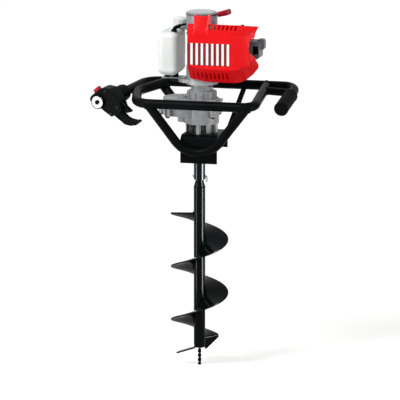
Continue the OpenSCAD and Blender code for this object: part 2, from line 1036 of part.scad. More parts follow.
strut_y = bracket_depth / 2 + strut_d / 2 + seat_gap;
strut_apex = front_rail_z - strut_spread * tan(strut_slope);
module front_strut() {
  color("#151618")
    difference() {
      translate([bracket_x, -strut_y, 0])
        rotate([90, 0, 0])
          bent_tube(
            [
              [-strut_spread, front_rail_z], [0, strut_apex], [strut_spread, front_rail_z]
            ],
            [strut_bend], strut_d / 2, tube_wall
          );
      loop_path(tube_d / 2 + seat_gap, 0);
      translate([-250, -200, front_rail_z])
        cube([500, 400, 60]);
    }
}

flange_y = bracket_depth / 2 + seat_gap;
strut_top = [-140, rail_y, rail_z];
strut_foot = [-12, flange_y, bracket_z - 22];
module rear_strut() {
  end = strut_foot + 40 * unit(strut_foot - strut_top);
  color("#151618")
    difference() {
      bar_between(strut_top, end, strut_d / 2);
      bar_between(strut_top, end + unit(end - strut_top), strut_d / 2 - tube_wall);
      rail_space();
      loop_path(tube_d / 2 + seat_gap, 0);
      translate([-200, flange_y - 200, bracket_z - 120])
        cube([400, 200, 300]);
    }
}

stay_w = 12;
stay_t = 6;
stay_top = [88, rail_y, rail_z];
stay_foot = [54.5, flange_y, bracket_z - 22];
module rear_stay() {
  v = stay_foot - stay_top;
  color("#151618")
    difference() {
      translate(stay_top)
        rotate([0, acos(v.z / norm(v)), atan2(v.y, v.x)])
          rotate(90)
            translate([-stay_w / 2, -stay_t / 2, 0])
              cube([stay_w, stay_t, norm(v) + 20]);
      rail_space();
      translate([-200, flange_y - 200, bracket_z - 120])
        cube([400, 200, 300]);
    }
}

brace_back = 50;
module handle_brace() {
  color("#16171a")
    difference() {
      bar_between(brace_end(loop_right, loop_tilt), brace_end(right_x, right_tilt), brace_d / 2);
      bar_between(
        brace_end(loop_right - 20, loop_tilt), brace_end(right_x + 20, right_tilt), brace_d / 2 - tube_wall
      );
      loop_path(tube_d / 2 + seat_gap, 0);
      right_bar_space();
    }
}

function brace_end(x, tilt) =
  [x, rail_y - brace_back * cos(tilt), rail_z - brace_back * sin(tilt)];

module right_grip() {
  color("#121314")
    at_rail(right_tilt)
      translate([right_x, -right_len - grip_end, 0])
        rotate([-90, 0, 0])
          difference() {
            union() {
              cylinder(r = grip_d / 2, h = grip_len);
              translate([0, 0, grip_len - 6])
                cylinder(r = grip_d / 2 + 2, h = 6);
            }
            translate([0, 0, grip_end - seat_gap])
              cylinder(r = tube_d / 2 + seat_gap, h = grip_len);
          }
}

// Throttle handle: x to the right, y up and z along the bar, out of its free end
module at_throttle() {
  at_rail(left_tilt)
    translate([-left_x, 0, 0])
      rotate([0, 0, -left_flare])
        translate([0, -left_len, 0])
          rotate([90, 0, 0])
            children();
}

lever_z = -7;
module throttle_case() {
  low = -head_back;
  color("#121416")
    at_throttle() {
      difference() {
        union() {
          translate([0, 0, low])
            linear_extrude(head_back + head_front)
              polygon(head_outline);
          translate([0, 0, low - throttle_sleeve_len])
            cylinder(r = throttle_sleeve_d / 2, h = throttle_sleeve_len + 2);
        }
        difference() {
          translate([0, 0, low + head_wall])
            linear_extrude(head_back + head_front)
              offset(delta = -head_wall)
                polygon(head_outline);
          translate([0, 0, low])
            cylinder(r = tube_d / 2 + 2, h = head_back + 1);
        }
        translate([0, 0, low - throttle_sleeve_len - 1])
          cylinder(r = tube_d / 2 + seat_gap, h = throttle_sleeve_len + head_back + 1);
        lever_mouth();
        switch_slot();
      }
      for (p = [trigger_pivot, lockout_pivot])
        translate([p.x, p.y, low + 1])
          cylinder(r = pivot_r, h = head_back + head_front - 2);
    }
}

// Opening in the head's right side for the two levers
module lever_mouth() {
  translate([7, -60, lever_z - move_gap])
    cube([60, 56, lever_t + 2 * move_gap]);
}

module at_switch() {
  translate([switch_at.x, switch_at.y, 0])
    rotate(switch_angle)
      children();
}

switch_stem = [8, 9, 6];
module switch_slot() {
  at_switch()
    translate([-switch_stem.x / 2 - move_gap, -14, -switch_stem.z / 2 - move_gap])
      cube([switch_stem.x + 2 * move_gap, 14, switch_stem.z + switch_travel + 2 * move_gap]);
}

switch_lift = 0.5;
module stop_switch() {
  color("#c8102e")
    at_throttle()
      at_switch() {
        translate([-switch_size.x / 2, switch_lift, -switch_size.z / 2])
          cube([switch_size.x, switch_size.y, switch_size.z]);
        translate([-switch_stem.x / 2, switch_lift - switch_stem.y, -switch_stem.z / 2])
          cube([switch_stem.x, switch_stem.y + 1, switch_stem.z]);
      }
}

button_stem_r = 9;
module throttle_cover() {
  color("#15171a")
    at_throttle()
      difference() {
        translate([0, 0, head_front + seat_gap])
          linear_extrude(cover_t)
            polygon(head_outline);
        translate([button_at.x, button_at.y, head_front - 1])
          cylinder(r = button_stem_r + move_gap, h = cover_t + 2);
      }
}

button_rim = 4;
module lock_button() {
  seat = head_front + seat_gap + cover_t + button_travel + move_gap;
  color("#f2f2ee")
    at_throttle()
      translate([button_at.x, button_at.y, 0]) {
        translate([0, 0, seat])
          cylinder(r = button_d / 2, h = button_rim);
        translate([0, 0, head_front + move_gap])
          cylinder(r = button_stem_r, h = seat - head_front - move_gap + 1);
      }
}

module lever(outline, pivot) {
  at_throttle()
    translate([0, 0, lever_z])
      difference() {
        linear_extrude(lever_t)
          polygon(outline);
        translate([pivot.x, pivot.y, -1])
          cylinder(r = pivot_r + run_fit, h = lever_t + 2);
      }
}

module throttle_trigger() {
  color("#101214")
    lever(trigger_outline, trigger_pivot);
}

module lockout_lever() {
  color("#101214")
    lever(lockout_outline, lockout_pivot);
}

// Clutch
module clutch_housing() {
  wall = 3;
  inner = drum_r + 2;
  color("#9fa2a4")
    at_input()
      difference() {
        union() {
          translate([0, 0, clutch_up])
            cylinder(r = inner + wall, h = clutch_top - clutch_up);
          translate([0, 0, clutch_up])
            cylinder(r = clutch_flange_r, h = clutch_flange_h);
          translate([0, 0, clutch_up + 4])
            linear_extrude(clutch_flange_h - 4)
              polygon([
                [-20, -32], [-44, -30], [-shelf_reach, -16], [-shelf_reach, 16], [-44, 30], [-20, 32]
              ]);
        }
        translate([0, 0, clutch_up + 4])
          cylinder(r = inner, h = clutch_top);
        translate([0, 0, clutch_up - 1])
          cylinder(r = input_r + 3, h = 8);
      }
}

clutch_flange_r = 42;
shelf_reach = 58;
shoe_gap = 0.8;
module clutch_shoes() {
  plate_r = drum_r - 2.5 - shoe_gap;
  z0 = drum_up + 3 + 1.5;
  h = drum_h - 6;
  color("#5b5450")
    at_input()
      for (side = [0, 180])
        rotate(side)
          translate([0, 0, z0])
            difference() {
              cylinder(r = plate_r, h = h);
              translate([-50, -50, -1])
                cube([100, 52, h + 2]);
              translate([0, 0, -1])
                cylinder(r = crank_r + seat_gap, h = h + 2);
            }
}

// Crankcase
cavity_r = web_r + 2;
crank_low_bearing = crank_up - 33;
crank_high_bearing = crank_up + 21;
crank_box = 30;
module crankcase_half(low, high, pocket_low) {
  at_input()
    difference() {
      union() {
        translate([0, 0, low])
          cylinder(r = crankcase_r, h = high - low);
        translate([0, -crank_box, max(low, crank_up - crank_box)])
          cube([barrel_x0 - engine_x - seat_gap, 2 * crank_box, crank_span(low, high)]);
        if (high > crank_up)
          for (a = post_angles)
            starter_post(a, high);
      }
      translate([0, 0, crank_up - web_gap - web_t - 1])
        cylinder(r = cavity_r, h = 2 * (web_gap + web_t + 1));
      translate([0, 0, low - 1])
        cylinder(r = crank_r + 2, h = high - low + 2);
      translate([0, 0, pocket_low])
        cylinder(r = bearing_crank[1], h = 19);
      translate([0, 0, crank_up])
        rotate([0, 90, 0])
          cylinder(r = bore_d / 2 + 1, h = 60);
      translate([barrel_x0 - engine_x - seat_gap, -27, crank_up - crank_box - 1])
        cube([20, 54, 2 * crank_box + 2]);
    }
}

function crank_span(low, high) = min(high, crank_up + crank_box) - max(low, crank_up - crank_box);

post_angles = [-100, -45, 45, 100];
post_ring = 45.5;
post_r = 5;
module starter_post(a, high) {
  rotate(a) {
    translate([post_ring, 0, high - 8])
      cylinder(r = post_r, h = starter_flange - seat_gap - high + 8);
    translate([crankcase_r - 6, -post_r, high - 8])
      cube([post_ring - crankcase_r + 6, 2 * post_r, 8]);
  }
}

module crankcase_lower() {
  color("#8e9193")
    crankcase_half(crankcase_bottom, crank_up - seat_gap, crank_low_bearing - seat_gap);
}

module crankcase_upper() {
  color("#8e9193")
    crankcase_half(crank_up, crankcase_top, crank_high_bearing + bearing_crank[2] + seat_gap - 19);
}

module along_x(x) {
  translate([x, 0, crank_z])
    rotate([0, 90, 0])
      children();
}

// Cylinder with its fins, its exhaust port at the front and its intake port at the back
barrel_flange = 8;
port_x = head_x - 26;
port_half = 14;
module cylinder_barrel() {
  outer = bore_d / 2 + barrel_wall;
  first = barrel_x0 + barrel_flange + 4;
  pitch = (head_end - fin_t - first) / (fin_count - 1);
  color("#b9bcbe")
    difference() {
      union() {
        along_x(barrel_x0)
          cylinder(r = outer, h = head_end - barrel_x0);
        translate([barrel_x0, -26, crank_z - crank_box])
          cube([barrel_flange, 52, 2 * crank_box]);
        for (i = [0:fin_count - 1])
          translate([first + i * pitch, -fin_half, crank_z - fin_half])
            cube([fin_t, 2 * fin_half, 2 * fin_half]);
        translate([port_x - port_half, -port_reach, crank_z - port_half])
          cube([2 * port_half, 2 * port_reach, 2 * port_half]);
      }
      along_x(barrel_x0 - 1)
        cylinder(r = bore_d / 2, h = head_x - barrel_x0 + 1);
      along_x(head_x - 1)
        cylinder(r = plug_r + seat_gap, h = head_end - head_x + 2);
      for (side = [-1, 1])
        translate([port_x, 0, crank_z])
          rotate([side * 90, 0, 0])
            cylinder(r = 9, h = port_reach + 1);
    }
}

skirt = 18;
module piston() {
  color("#c4c6c8")
    difference() {
      along_x(wrist_x - skirt)
        cylinder(r = bore_d / 2 - run_fit, h = skirt + crown);
      along_x(wrist_x - skirt - 1)
        cylinder(r = bore_d / 2 - 5, h = skirt + crown - 5);
      translate([wrist_x, 0, crank_z])
        cylinder(r = wrist_pin_r + seat_gap, h = bore_d, center = true);
      for (i = [0:1])
        along_x(wrist_x + crown - 5 - 4 * i)
          ring(bore_d, bore_d / 2 - 1.5, 1.5);
    }
}

rod_w = 8;
module connecting_rod() {
  crank_pin_x = engine_x + throw;
  color("#7e8184")
    difference() {
      union() {
        translate([crank_pin_x, 0, crank_z - rod_w / 2])
          cylinder(r = big_end_r, h = rod_w);
        translate([wrist_x, 0, crank_z - rod_w / 2])
          cylinder(r = wrist_pin_r + 4, h = rod_w);
        translate([crank_pin_x + 8, -5, crank_z - rod_w / 2 + 1])
          cube([rod_len - 12, 10, rod_w - 2]);
      }
      translate([crank_pin_x, 0, crank_z - rod_w])
        cylinder(r = crank_pin_r + run_fit, h = 2 * rod_w);
      translate([wrist_x, 0, crank_z - rod_w])
        cylinder(r = wrist_pin_r + run_fit, h = 2 * rod_w);
    }
}

module engine_pins() {
  pin_half = web_gap - move_gap;
  wrist_half = bore_d / 2 - 2;
  color("#aeb1b3") {
    translate([engine_x + throw, 0, crank_z - pin_half])
      cylinder(r = crank_pin_r, h = 2 * pin_half);
    translate([wrist_x, 0, crank_z - wrist_half])
      cylinder(r = wrist_pin_r, h = 2 * wrist_half);
  }
}

crank_foot = drum_up + 4.5;
crank_head = spring_post - 4;
module crankshaft() {
  color("#8a8d90")
    at_input() {
      translate([0, 0, crank_foot])
        cylinder(r = crank_r, h = crank_up - web_gap - crank_foot);
      translate([0, 0, crank_up + web_gap])
        cylinder(r = crank_r, h = crank_head - crank_up - web_gap);
      for (z = [crank_up - web_gap - web_t, crank_up + web_gap])
        translate([0, 0, z])
          cylinder(r = web_r, h = web_t);
    }
}

blade_count = 12;
module flywheel() {
  color("#6d7073")
    at_input()
      difference() {
        union() {
          translate([0, 0, flywheel_up])
            cylinder(r = flywheel_r - 8, h = flywheel_h);
          translate([0, 0, flywheel_up])
            cylinder(r = flywheel_r, h = 3);
          for (i = [0:blade_count - 1])
            rotate(360 * i / blade_count)
              translate([flywheel_r - 9, -1, flywheel_up])
                cube([8, 2, flywheel_h]);
          translate([0, 0, flywheel_up])
            cylinder(r = 14, h = flywheel_h + 6);
        }
        translate([0, 0, flywheel_up - 1])
          cylinder(r = crank_r + seat_gap, h = flywheel_h + 10);
      }
}

// Spark plug and its cap
plug_r = 7;
plug_hex_x = head_end + seat_gap;
plug_hex_h = 8;
plug_end = plug_hex_x + 24;
module spark_plug() {
  color("#d8d8d4") {
    along_x(head_x + 1)
      cylinder(r = plug_r, h = head_end - head_x);
    along_x(plug_hex_x)
      cylinder(r = 10, h = plug_hex_h, $fn = 6);
    along_x(plug_hex_x + plug_hex_h - eps)
      cylinder(r = 5, h = plug_end - plug_hex_x - plug_hex_h);
  }
}

cap_len = 36;
cap_half = [22, 23];
cap_recess = [16, 22, 4];
module plug_cap() {
  x0 = plug_hex_x + plug_hex_h + 1;
  color("#85888b")
    difference() {
      union() {
        translate([x0, cap_half.x, crank_z - cap_half.y])
          rotate([90, 0, 0])
            linear_extrude(2 * cap_half.x)
              rounded_rect([cap_len, 2 * cap_half.y], 8);
        translate([x0 + cap_len - 9, 9, crank_z])
          rotate([90, 0, 0])
            linear_extrude(18)
              rounded_rect([20, 28], 7);
      }
      along_x(x0 - 1)
        cylinder(r = 5 + seat_gap, h = plug_end - x0 + 2);
      translate([x0 + cap_len - cap_recess.x - 3, -cap_half.x - 1, crank_z - cap_recess.y / 2])
        cube([cap_recess.x, cap_recess.z + 1, cap_recess.y]);
    }
}

// Exhaust
muffler_x = 2;
muffler_w = 102;
muffler_low = 190;
muffler_h = 56;
muffler_back = port_reach + seat_gap;
muffler_depth = shroud_front - shroud_t - 3 - shield_t - muffler_back;
module muffler() {
  color("#7c7f81")
    difference() {
      muffler_box(0);
      muffler_box(3);
      translate([port_x, -muffler_back + 1, crank_z])
        rotate([90, 0, 0])
          cylinder(r = 9, h = 8);
    }
}

module muffler_box(inset) {
  translate([muffler_x + inset, -muffler_back - inset, bracket_z + muffler_low + inset])
    rotate([90, 0, 0])
      linear_extrude(muffler_depth - 2 * inset)
        rounded_rect([muffler_w - 2 * inset, muffler_h - 2 * inset], 10 - inset);
}

module heat_shield() {
  y = -muffler_back - muffler_depth - seat_gap - shield_t;
  color("#eceeee")
    translate([muffler_x - 10, y, bracket_z + muffler_low - 6]) {
      cube([muffler_w + 12, shield_t, muffler_h + 12]);
      translate([-12, 0, 6])
        cube([13, shield_t, 28]);
    }
}

// Shroud: a C-shaped shell over the front, the top and the upper back of the engine
function shroud_line(front, low, high) = [
  [-front + bevel_low.x, low], [-front, low + bevel_low.y], [-front, high - bevel_high.y],
  [-front + bevel_high.x, high], [shroud_back - bevel_back.x, high - top_fall(front)],
  [shroud_back, high - top_fall(front) - bevel_back.y], [shroud_back, high - skirt_h]
];

// The top falls towards the back
function top_fall(front) = (front - bevel_high.x + shroud_back - bevel_back.x) * tan(top_slope);

function top_at(y) = shroud_high - (y + shroud_front - bevel_high.x) * tan(top_slope);

function normal_of(a, b) = let (u = unit(b - a)) [u.y, -u.x];

// Inner line of the shell, one wall inside the outer line
function inset_point(p, i, t) =
  let (
    last = len(p) - 1,
    n0 = normal_of(p[max(i - 1, 0)], p[max(i, 1)]),
    n1 = normal_of(p[min(i, last - 1)], p[min(i + 1, last)])
  )
  p[i] + t / (1 + n0 * n1) * (n0 + n1);

function shroud_ring(x, front, low, high) =
  let (outer = shroud_line(front, low, high), last = len(outer) - 1)
  [
    for (p = outer) [x, p.x, p.y],
    for (i = [last:-1:0]) let (q = inset_point(outer, i, shroud_t)) [x, q.x, q.y]
  ];

function strip_cap(first, n, flip) = [
  for (i = [0:n / 2 - 2])
    let (a = first + i, b = first + i + 1, c = first + n - 2 - i, d = first + n - 1 - i)
    each (flip ? [[a, c, b], [a, d, c]] : [[a, b, c], [a, c, d]])
];

module shroud_shell() {
  x1 = shroud_x0 + shroud_flat;
  rings = concat(
    [
      shroud_ring(shroud_x0, shroud_front, shroud_low + left_lift, shroud_high),
      shroud_ring(shroud_x0 + shroud_flat * 0.36, shroud_front, shroud_low, shroud_high)
    ],
    [
      for (f = [0:0.25:1])
        shroud_ring(
          x1 + shroud_taper * f, shroud_front + (end_front - shroud_front) * pow(f, 2),
          shroud_low + (ear_low - shroud_low) * pow(f, 2.2),
          shroud_high + (ear_high - shroud_high) * pow(f, 2)
        )
    ]
  );
  n = len(rings[0]);
  faces = concat(
    skin_sides(len(rings), n),
    strip_cap(0, n, true),
    strip_cap((len(rings) - 1) * n, n, false)
  );
  polyhedron(points = [for (r = rings) each r], faces = faces);
}

// The raised red panel that stands in front of the starter's drum, open above, with a facet down each side
module shroud_tower() {
  base = shroud_high - bevel_high.y - 17;
  bend = base + 16;
  front = shroud_front + 2;
  drum_front = starter_r + 2;
  difference() {
    translate([tower_x, 0, 0])
      rotate([90, 0, 90])
        linear_extrude(tower_w)
          polygon([
            [-front, base], [-front, bend], [-front + tower_lean, tower_top_up], [-drum_front, tower_top_up],
            [-drum_front, shroud_high - 8], [-drum_front - 12, shroud_high - 6],
            [-shroud_front + 1, base + 13], [-shroud_front + 1, base]
          ]);
    translate([tower_x + tower_side, 0, 0])
      rotate([90, 0, 90])
        linear_extrude(tower_w - 2 * tower_side)
          polygon([
            [-front + shroud_t + 3, bend + 8], [-front + shroud_t + tower_lean, tower_top_up + 1],
            [-drum_front + 2, tower_top_up + 1], [-drum_front + 2, shroud_high + 2],
            [-drum_front - 14, shroud_high + 2]
          ]);
    for (side = [0, 1])
      translate([tower_x + tower_w / 2, -front, bend])
        rotate([-atan2(tower_lean, tower_top_up - bend), 0, 0])
          mirror([side, 0, 0])
            translate([tower_w / 2, 0, -20])
              linear_extrude(80)
                polygon([
                  [-tower_facet.x - 2, -1], [1, -1], [1, tower_facet.y + tower_facet.y / tower_facet.x],
                  [-tower_facet.x, 0]
                ]);
  }
}

louvre_pitch = 11;
louvre_w = 5;
module louvres(y, z, angle, reach, x_from, x_to) {
  for (x = [x_from:louvre_pitch:x_to])
    translate([x, y, z])
      rotate([angle, 0, 0])
        translate([0, -8, -reach / 2])
          cube([louvre_w, 16, reach]);
}

// The end is cut back on the slant behind the plug cap
end_trim = -40;
end_slant = 22;
module engine_shroud() {
  ear_mid = (ear_low + ear_high) / 2;
  ear_half = (ear_high - ear_low) / 2;
  ear_r = (ear_half * ear_half + ear_cut * ear_cut) / (2 * ear_cut);
  x_end = shroud_x0 + shroud_flat + shroud_taper;
  color("#d8141c")
    translate([0, 0, bracket_z])
      difference() {
        union() {
          shroud_shell();
          shroud_tower();
        }
        translate([engine_x, 0, starter_flange])
          cylinder(r = starter_r + 1, h = 80);
        translate([engine_x, 0, crankcase_top + 6])
          rotate_extrude(angle = 180)
            square([post_ring + post_r + 1, 80]);
        for (i = [0:slot_count - 1])
          translate([slot_x + i * slot_pitch - slot_w / 2, -shroud_front - 1, slot_up - slot_h / 2])
            cube([slot_w, shroud_t + 2, slot_h]);
        translate([x_end - ear_cut + ear_r, 0, ear_mid])
          rotate([90, 0, 0])
            cylinder(r = ear_r, h = 300, center = true);
        translate([x_end + 6, 0, notch_up])
          rotate([90, 0, 0])
            cylinder(r = notch_r, h = 300, center = true);
        translate([x_end, end_trim, ear_low - 40])
          rotate([0, 0, end_slant])
            cube([120, 220, 200]);
        louvres(
          -shroud_front + bevel_high.x / 2, shroud_high - bevel_high.y / 2,
          -atan2(bevel_high.x, bevel_high.y), 18, tower_x + tower_w + 3, shroud_x0 + shroud_flat + 8
        );
        louvres(
          -shroud_front + bevel_low.x / 2, shroud_low + bevel_low.y / 2,
          atan2(bevel_low.x, bevel_low.y), 24, shroud_x0 + 12, shroud_x0 + shroud_flat - 8
        );
        for (p = shroud_screw_places())
          at_screw(p)
            translate([0, 0, -10])
              cylinder(r = screw_r + seat_gap, h = 20);
      }
}

screw_r = 2;
function shroud_screw_places() = [[125, -42], [100, 36]];
module at_screw(p) {
  translate([p.x, p.y, top_at(p.y)])
    rotate([-top_slope, 0, 0])
      children();
}

module shroud_screws() {
  color("#3a2f30")
    translate([0, 0, bracket_z])
      for (p = shroud_screw_places())
        at_screw(p) {
          translate([0, 0, seat_gap])
            cylinder(r = 4, h = 3);
          translate([0, 0, seat_gap - 12])
            cylinder(r = screw_r, h = 12 + eps);
        }
}

// Intake
carb_w = 34;
carb_depth = 36;
choke_at = [16, 10];
choke_r = 3;
module carburettor() {
  y0 = port_reach + seat_gap;
  color("#9a9da0")
    translate([port_x, y0, crank_z])
      difference() {
        union() {
          translate([-carb_w / 2, 0, -18])
            cube([carb_w, 6, 36]);
          translate([-carb_w / 2, 5, -16])
            cube([carb_w, carb_depth - 5, 32]);
          translate([-carb_w / 2 + 1, carb_depth / 2 + 4, 0])
            rotate([0, -90, 0])
              cylinder(r = 11, h = 6);
          translate([carb_w / 2 - 1, carb_depth - choke_at.y, choke_at.x - 8])
            rotate([0, 90, 0])
              cylinder(r = choke_r, h = 8);
        }
        translate([0, -1, 0])
          rotate([-90, 0, 0])
            cylinder(r = 9, h = carb_depth + 2);
      }
}

module choke_lever() {
  y = port_reach + seat_gap + carb_depth - choke_at.y;
  color("#202224")
    translate([port_x + carb_w / 2 + move_gap, y, crank_z + choke_at.x - 8])
      rotate([0, 90, 0])
        difference() {
          union() {
            cylinder(r = choke_r + 3, h = 4);
            translate([-26, -3, 0])
              cube([24, 6, 4]);
            translate([-28, -4, 0])
              cube([6, 8, 12]);
          }
          translate([0, 0, -1])
            cylinder(r = choke_r + run_fit, h = 8);
        }
}

filter_w = 76;
filter_h = 74;
filter_base_t = 6;
filter_depth = 34;
module air_filter_base() {
  y0 = port_reach + carb_depth + 2 * seat_gap;
  color("#1f2123")
    translate([port_x - filter_w / 2, y0, crank_z - filter_h / 2])
      difference() {
        cube([filter_w, filter_base_t, filter_h]);
        translate([filter_w / 2, -1, filter_h / 2])
          rotate([-90, 0, 0])
            cylinder(r = 9, h = filter_base_t + 2);
      }
}

module air_filter_cover() {
  y0 = port_reach + carb_depth + filter_base_t + 3 * seat_gap;
  wall = 2.5;
  color("#1a1c1e")
    translate([port_x - filter_w / 2 - 2, y0, crank_z - filter_h / 2 - 2])
      difference() {
        translate([0, -10, 0])
          round_box([filter_w + 4, filter_depth + 10, filter_h + 4], 9);
        translate([wall, -12, wall])
          round_box([filter_w + 4 - 2 * wall, filter_depth + 12 - wall, filter_h + 4 - 2 * wall], 7);
        translate([-10, -20, -10])
          cube([filter_w + 30, 20, filter_h + 30]);
      }
}

// Recoil starter
module starter_housing() {
  post = 6;
  color("#8d9092")
    at_input()
      difference() {
        union() {
          rotate_extrude()
            polygon([
              [starter_r - starter_wall, starter_flange], [post_ring + post_r, starter_flange],
              [post_ring + post_r, starter_flange + starter_flange_t],
              [starter_r, starter_flange + starter_flange_t], [starter_r, starter_top - 3],
              [starter_r - 3, starter_top], [16, starter_top + 2], [0, starter_top + 3],
              [0, starter_top - 3], [starter_r - starter_wall, starter_top - 3]
            ]);
          translate([0, 0, spring_post])
            cylinder(r = post, h = starter_top - spring_post - 2);
        }
        translate(concat(polar(starter_r, pull_dir), rope_up))
          rotate([0, 90 - pull_rise, pull_dir])
            translate([0, 0, -6])
              cylinder(r = rope_d / 2 + 1, h = 14);
        translate([-post_ring - 40, -60, starter_flange - 1])
          cube([46, 120, starter_flange_t + 1 + eps]);
      }
}

reel_r = 34;
reel_bore = 6 + run_fit;
module starter_reel() {
  color("#d9d6cd")
    at_input()
      translate([0, 0, reel_low])
        rotate_extrude()
          polygon([
            [reel_bore, 0], [reel_r, 0], [reel_r, 2.5], [reel_r - 8, 4.5], [reel_r - 8, reel_h - 4.5],
            [reel_r, reel_h - 2.5], [reel_r, reel_h], [reel_bore, reel_h]
          ]);
}

spring_turns = 7;
spring_t = 0.8;
function spiral(r_shift, steps) = [
  for (i = [0:steps])
    polar(10 + r_shift + 22 * i / steps, 360 * spring_turns * i / steps)
];

module recoil_spring() {
  steps = spring_turns * 20;
  inner = spiral(0, steps);
  outer = spiral(spring_t, steps);
  color("#6f7577")
    at_input()
      translate([0, 0, spring_low])
        linear_extrude(spring_h)
          polygon(concat(outer, [for (i = [steps:-1:0]) inner[i]]));
}

// The pull's line, from the drum's wall outwards
module at_pull() {
  at_input()
    translate(concat(polar(starter_r, pull_dir), rope_up))
      rotate([0, 90 - pull_rise, pull_dir])
        children();
}

pull_gap = 5;
pull_w = 34;
module starter_handle() {
  color("#9c1230")
    at_pull()
      translate([0, 0, pull_gap])
        difference() {
          hull()
            for (y = [-1, 1]) {
              translate([0, y * (pull_w / 2 - pull_t / 2), pull_len - 7])
                cylinder(r = pull_t / 2, h = 7, $fn = 32);
              translate([0, y * 4, 0])
                cylinder(r = pull_t / 2 - 0.5, h = 4, $fn = 32);
            }
          translate([0, 0, -1])
            cylinder(r = rope_d / 2 + seat_gap, h = 13);
        }
}

rope_in = 4;
module starter_rope() {
  color("#e6e3da")
    at_pull()
      translate([0, 0, -rope_in])
        cylinder(r = rope_d / 2, h = rope_in + pull_gap + 11);
}

// Fuel tank
module tank_box(inset) {
  translate([tank_x - tank_w + inset, -tank_depth / 2 + inset, bracket_z + tank_z + inset])
    round_box([tank_w - 2 * inset, tank_depth - 2 * inset, tank_h - 2 * inset], tank_r - inset);
}

neck_h = 14;
module fuel_tank() {
  top = bracket_z + tank_z + tank_h;
  color("#eef0ee")
    difference() {
      union() {
        tank_box(0);
        translate([cap_xy.x, cap_xy.y, top - tank_r + 2])
          cylinder(r = neck_r, h = neck_h + tank_r - 2);
      }
      tank_box(tank_wall);
      translate([cap_xy.x, cap_xy.y, top - tank_r])
        cylinder(r = neck_r - 3, h = neck_h + tank_r + 4);
      translate([grommet_xy.x, grommet_xy.y, top - 6])
        cylinder(r = grommet_r - 2 + seat_gap, h = 10);
    }
}

module fuel_cap() {
  top = bracket_z + tank_z + tank_h;
  color("#e9ebe9")
    translate([cap_xy.x, cap_xy.y, top + 1])
      rotate_extrude()
        polygon([
          [neck_r + run_fit, 0], [cap_r, 0], [cap_r, cap_h - 5], [cap_r - 6, cap_h], [0, cap_h + 2],
          [0, neck_h], [neck_r + run_fit, neck_h]
        ]);
}

strap_w = 40;
strap_len = 60;
strap_end = engine_x - drum_r - 5 - 2;
buffer_r = 8;
module tank_strap() {
  color("#b9bbbc")
    translate([strap_end - strap_len, -strap_w / 2, bracket_z + strap_z])
      cube([strap_len, strap_w, strap_t]);
}

module tank_buffers() {
  color("#161616")
    for (x = [-39, -18])
      translate([tank_x + x, 0, bracket_z + strap_z + strap_t + seat_gap])
        cylinder(r = buffer_r, h = buffer_h);
}

// The hose leaves the tank through its moulded grommet and ends on the carburettor's pump
tank_top = tank_z + tank_h;
hose_end_x = port_x - carb_w / 2 - 5 - seat_gap;
hose_sides = 10;
hose_route = [
  [-60, -30, tank_top + 3], [-59.7, -29.4, tank_top + 6], [-57.9, -26, tank_top + 9],
  [-53.5, -17.5, tank_top + 10.8], [-49, -6, tank_top + 11.8], [-45, 4, tank_top + 12.4],
  [-41, 13.5, tank_top + 12.8], [-36.5, 24, tank_top + 12.8], [-31.5, 37, tank_top + 11.2],
  [-27.5, 47, tank_top + 4], [-21, 55, 259], [-10, 61, 248.5], [6, 62, 239],
  [28, 62, 229.5], [46, 62, crank_up + 0.2], [hose_end_x, 62, crank_up]
];
module fuel_hose() {
  color("#1a1a1b") {
    translate([0, 0, bracket_z])
      swept_tube(hose_route, hose_d / 2, hose_sides);
    translate([grommet_xy.x, grommet_xy.y, bracket_z + tank_top + seat_gap])
      cylinder(r = grommet_r, h = grommet_h);
    translate([grommet_xy.x, grommet_xy.y, bracket_z + tank_top - 5])
      cylinder(r = grommet_r - 2, h = 6);
  }
}

bit_stem();
bit_flight();
cutter_blades();
pilot_tip();
coupling_sleeve();
cross_pins();
pin_ring();
output_shaft();
output_gear();
layshaft();
layshaft_gear();
clutch_drum();
engine_bracket();
handlebar();
guard_loop();
front_strut();
rear_strut();
rear_stay();
handle_brace();
right_grip();
throttle_case();
throttle_cover();
throttle_trigger();
lockout_lever();
stop_switch();
lock_button();
gearcase_lower();
gearcase_upper();
case_bolts();
ball_bearings();
clutch_housing();
crankcase_lower();
crankcase_upper();
cylinder_barrel();
piston();
connecting_rod();
engine_pins();
crankshaft();
flywheel();
clutch_shoes();
spark_plug();
plug_cap();
muffler();
heat_shield();
engine_shroud();
shroud_screws();
carburettor();
choke_lever();
air_filter_base();
air_filter_cover();
starter_housing();
starter_reel();
recoil_spring();
starter_handle();
starter_rope();
fuel_tank();
fuel_cap();
tank_strap();
tank_buffers();
fuel_hose();
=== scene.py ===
"""Earth auger dressed for its studio picture.

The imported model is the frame. Sizes are in millimetres, turned to metres by MM, and every place is in
the shared frame: X to the right, Y to the back, Z up, with the pilot tip at the origin.
"""
import logging
import math
from dataclasses import dataclass, field
from enum import Enum
from typing import Any, Iterable, Sequence

import bmesh
import bpy
from bmesh.types import BMEdge, BMesh, BMVert
from bpy.types import NodeSocket as Socket, NodeTree, Object
from mathutils import Matrix, Vector


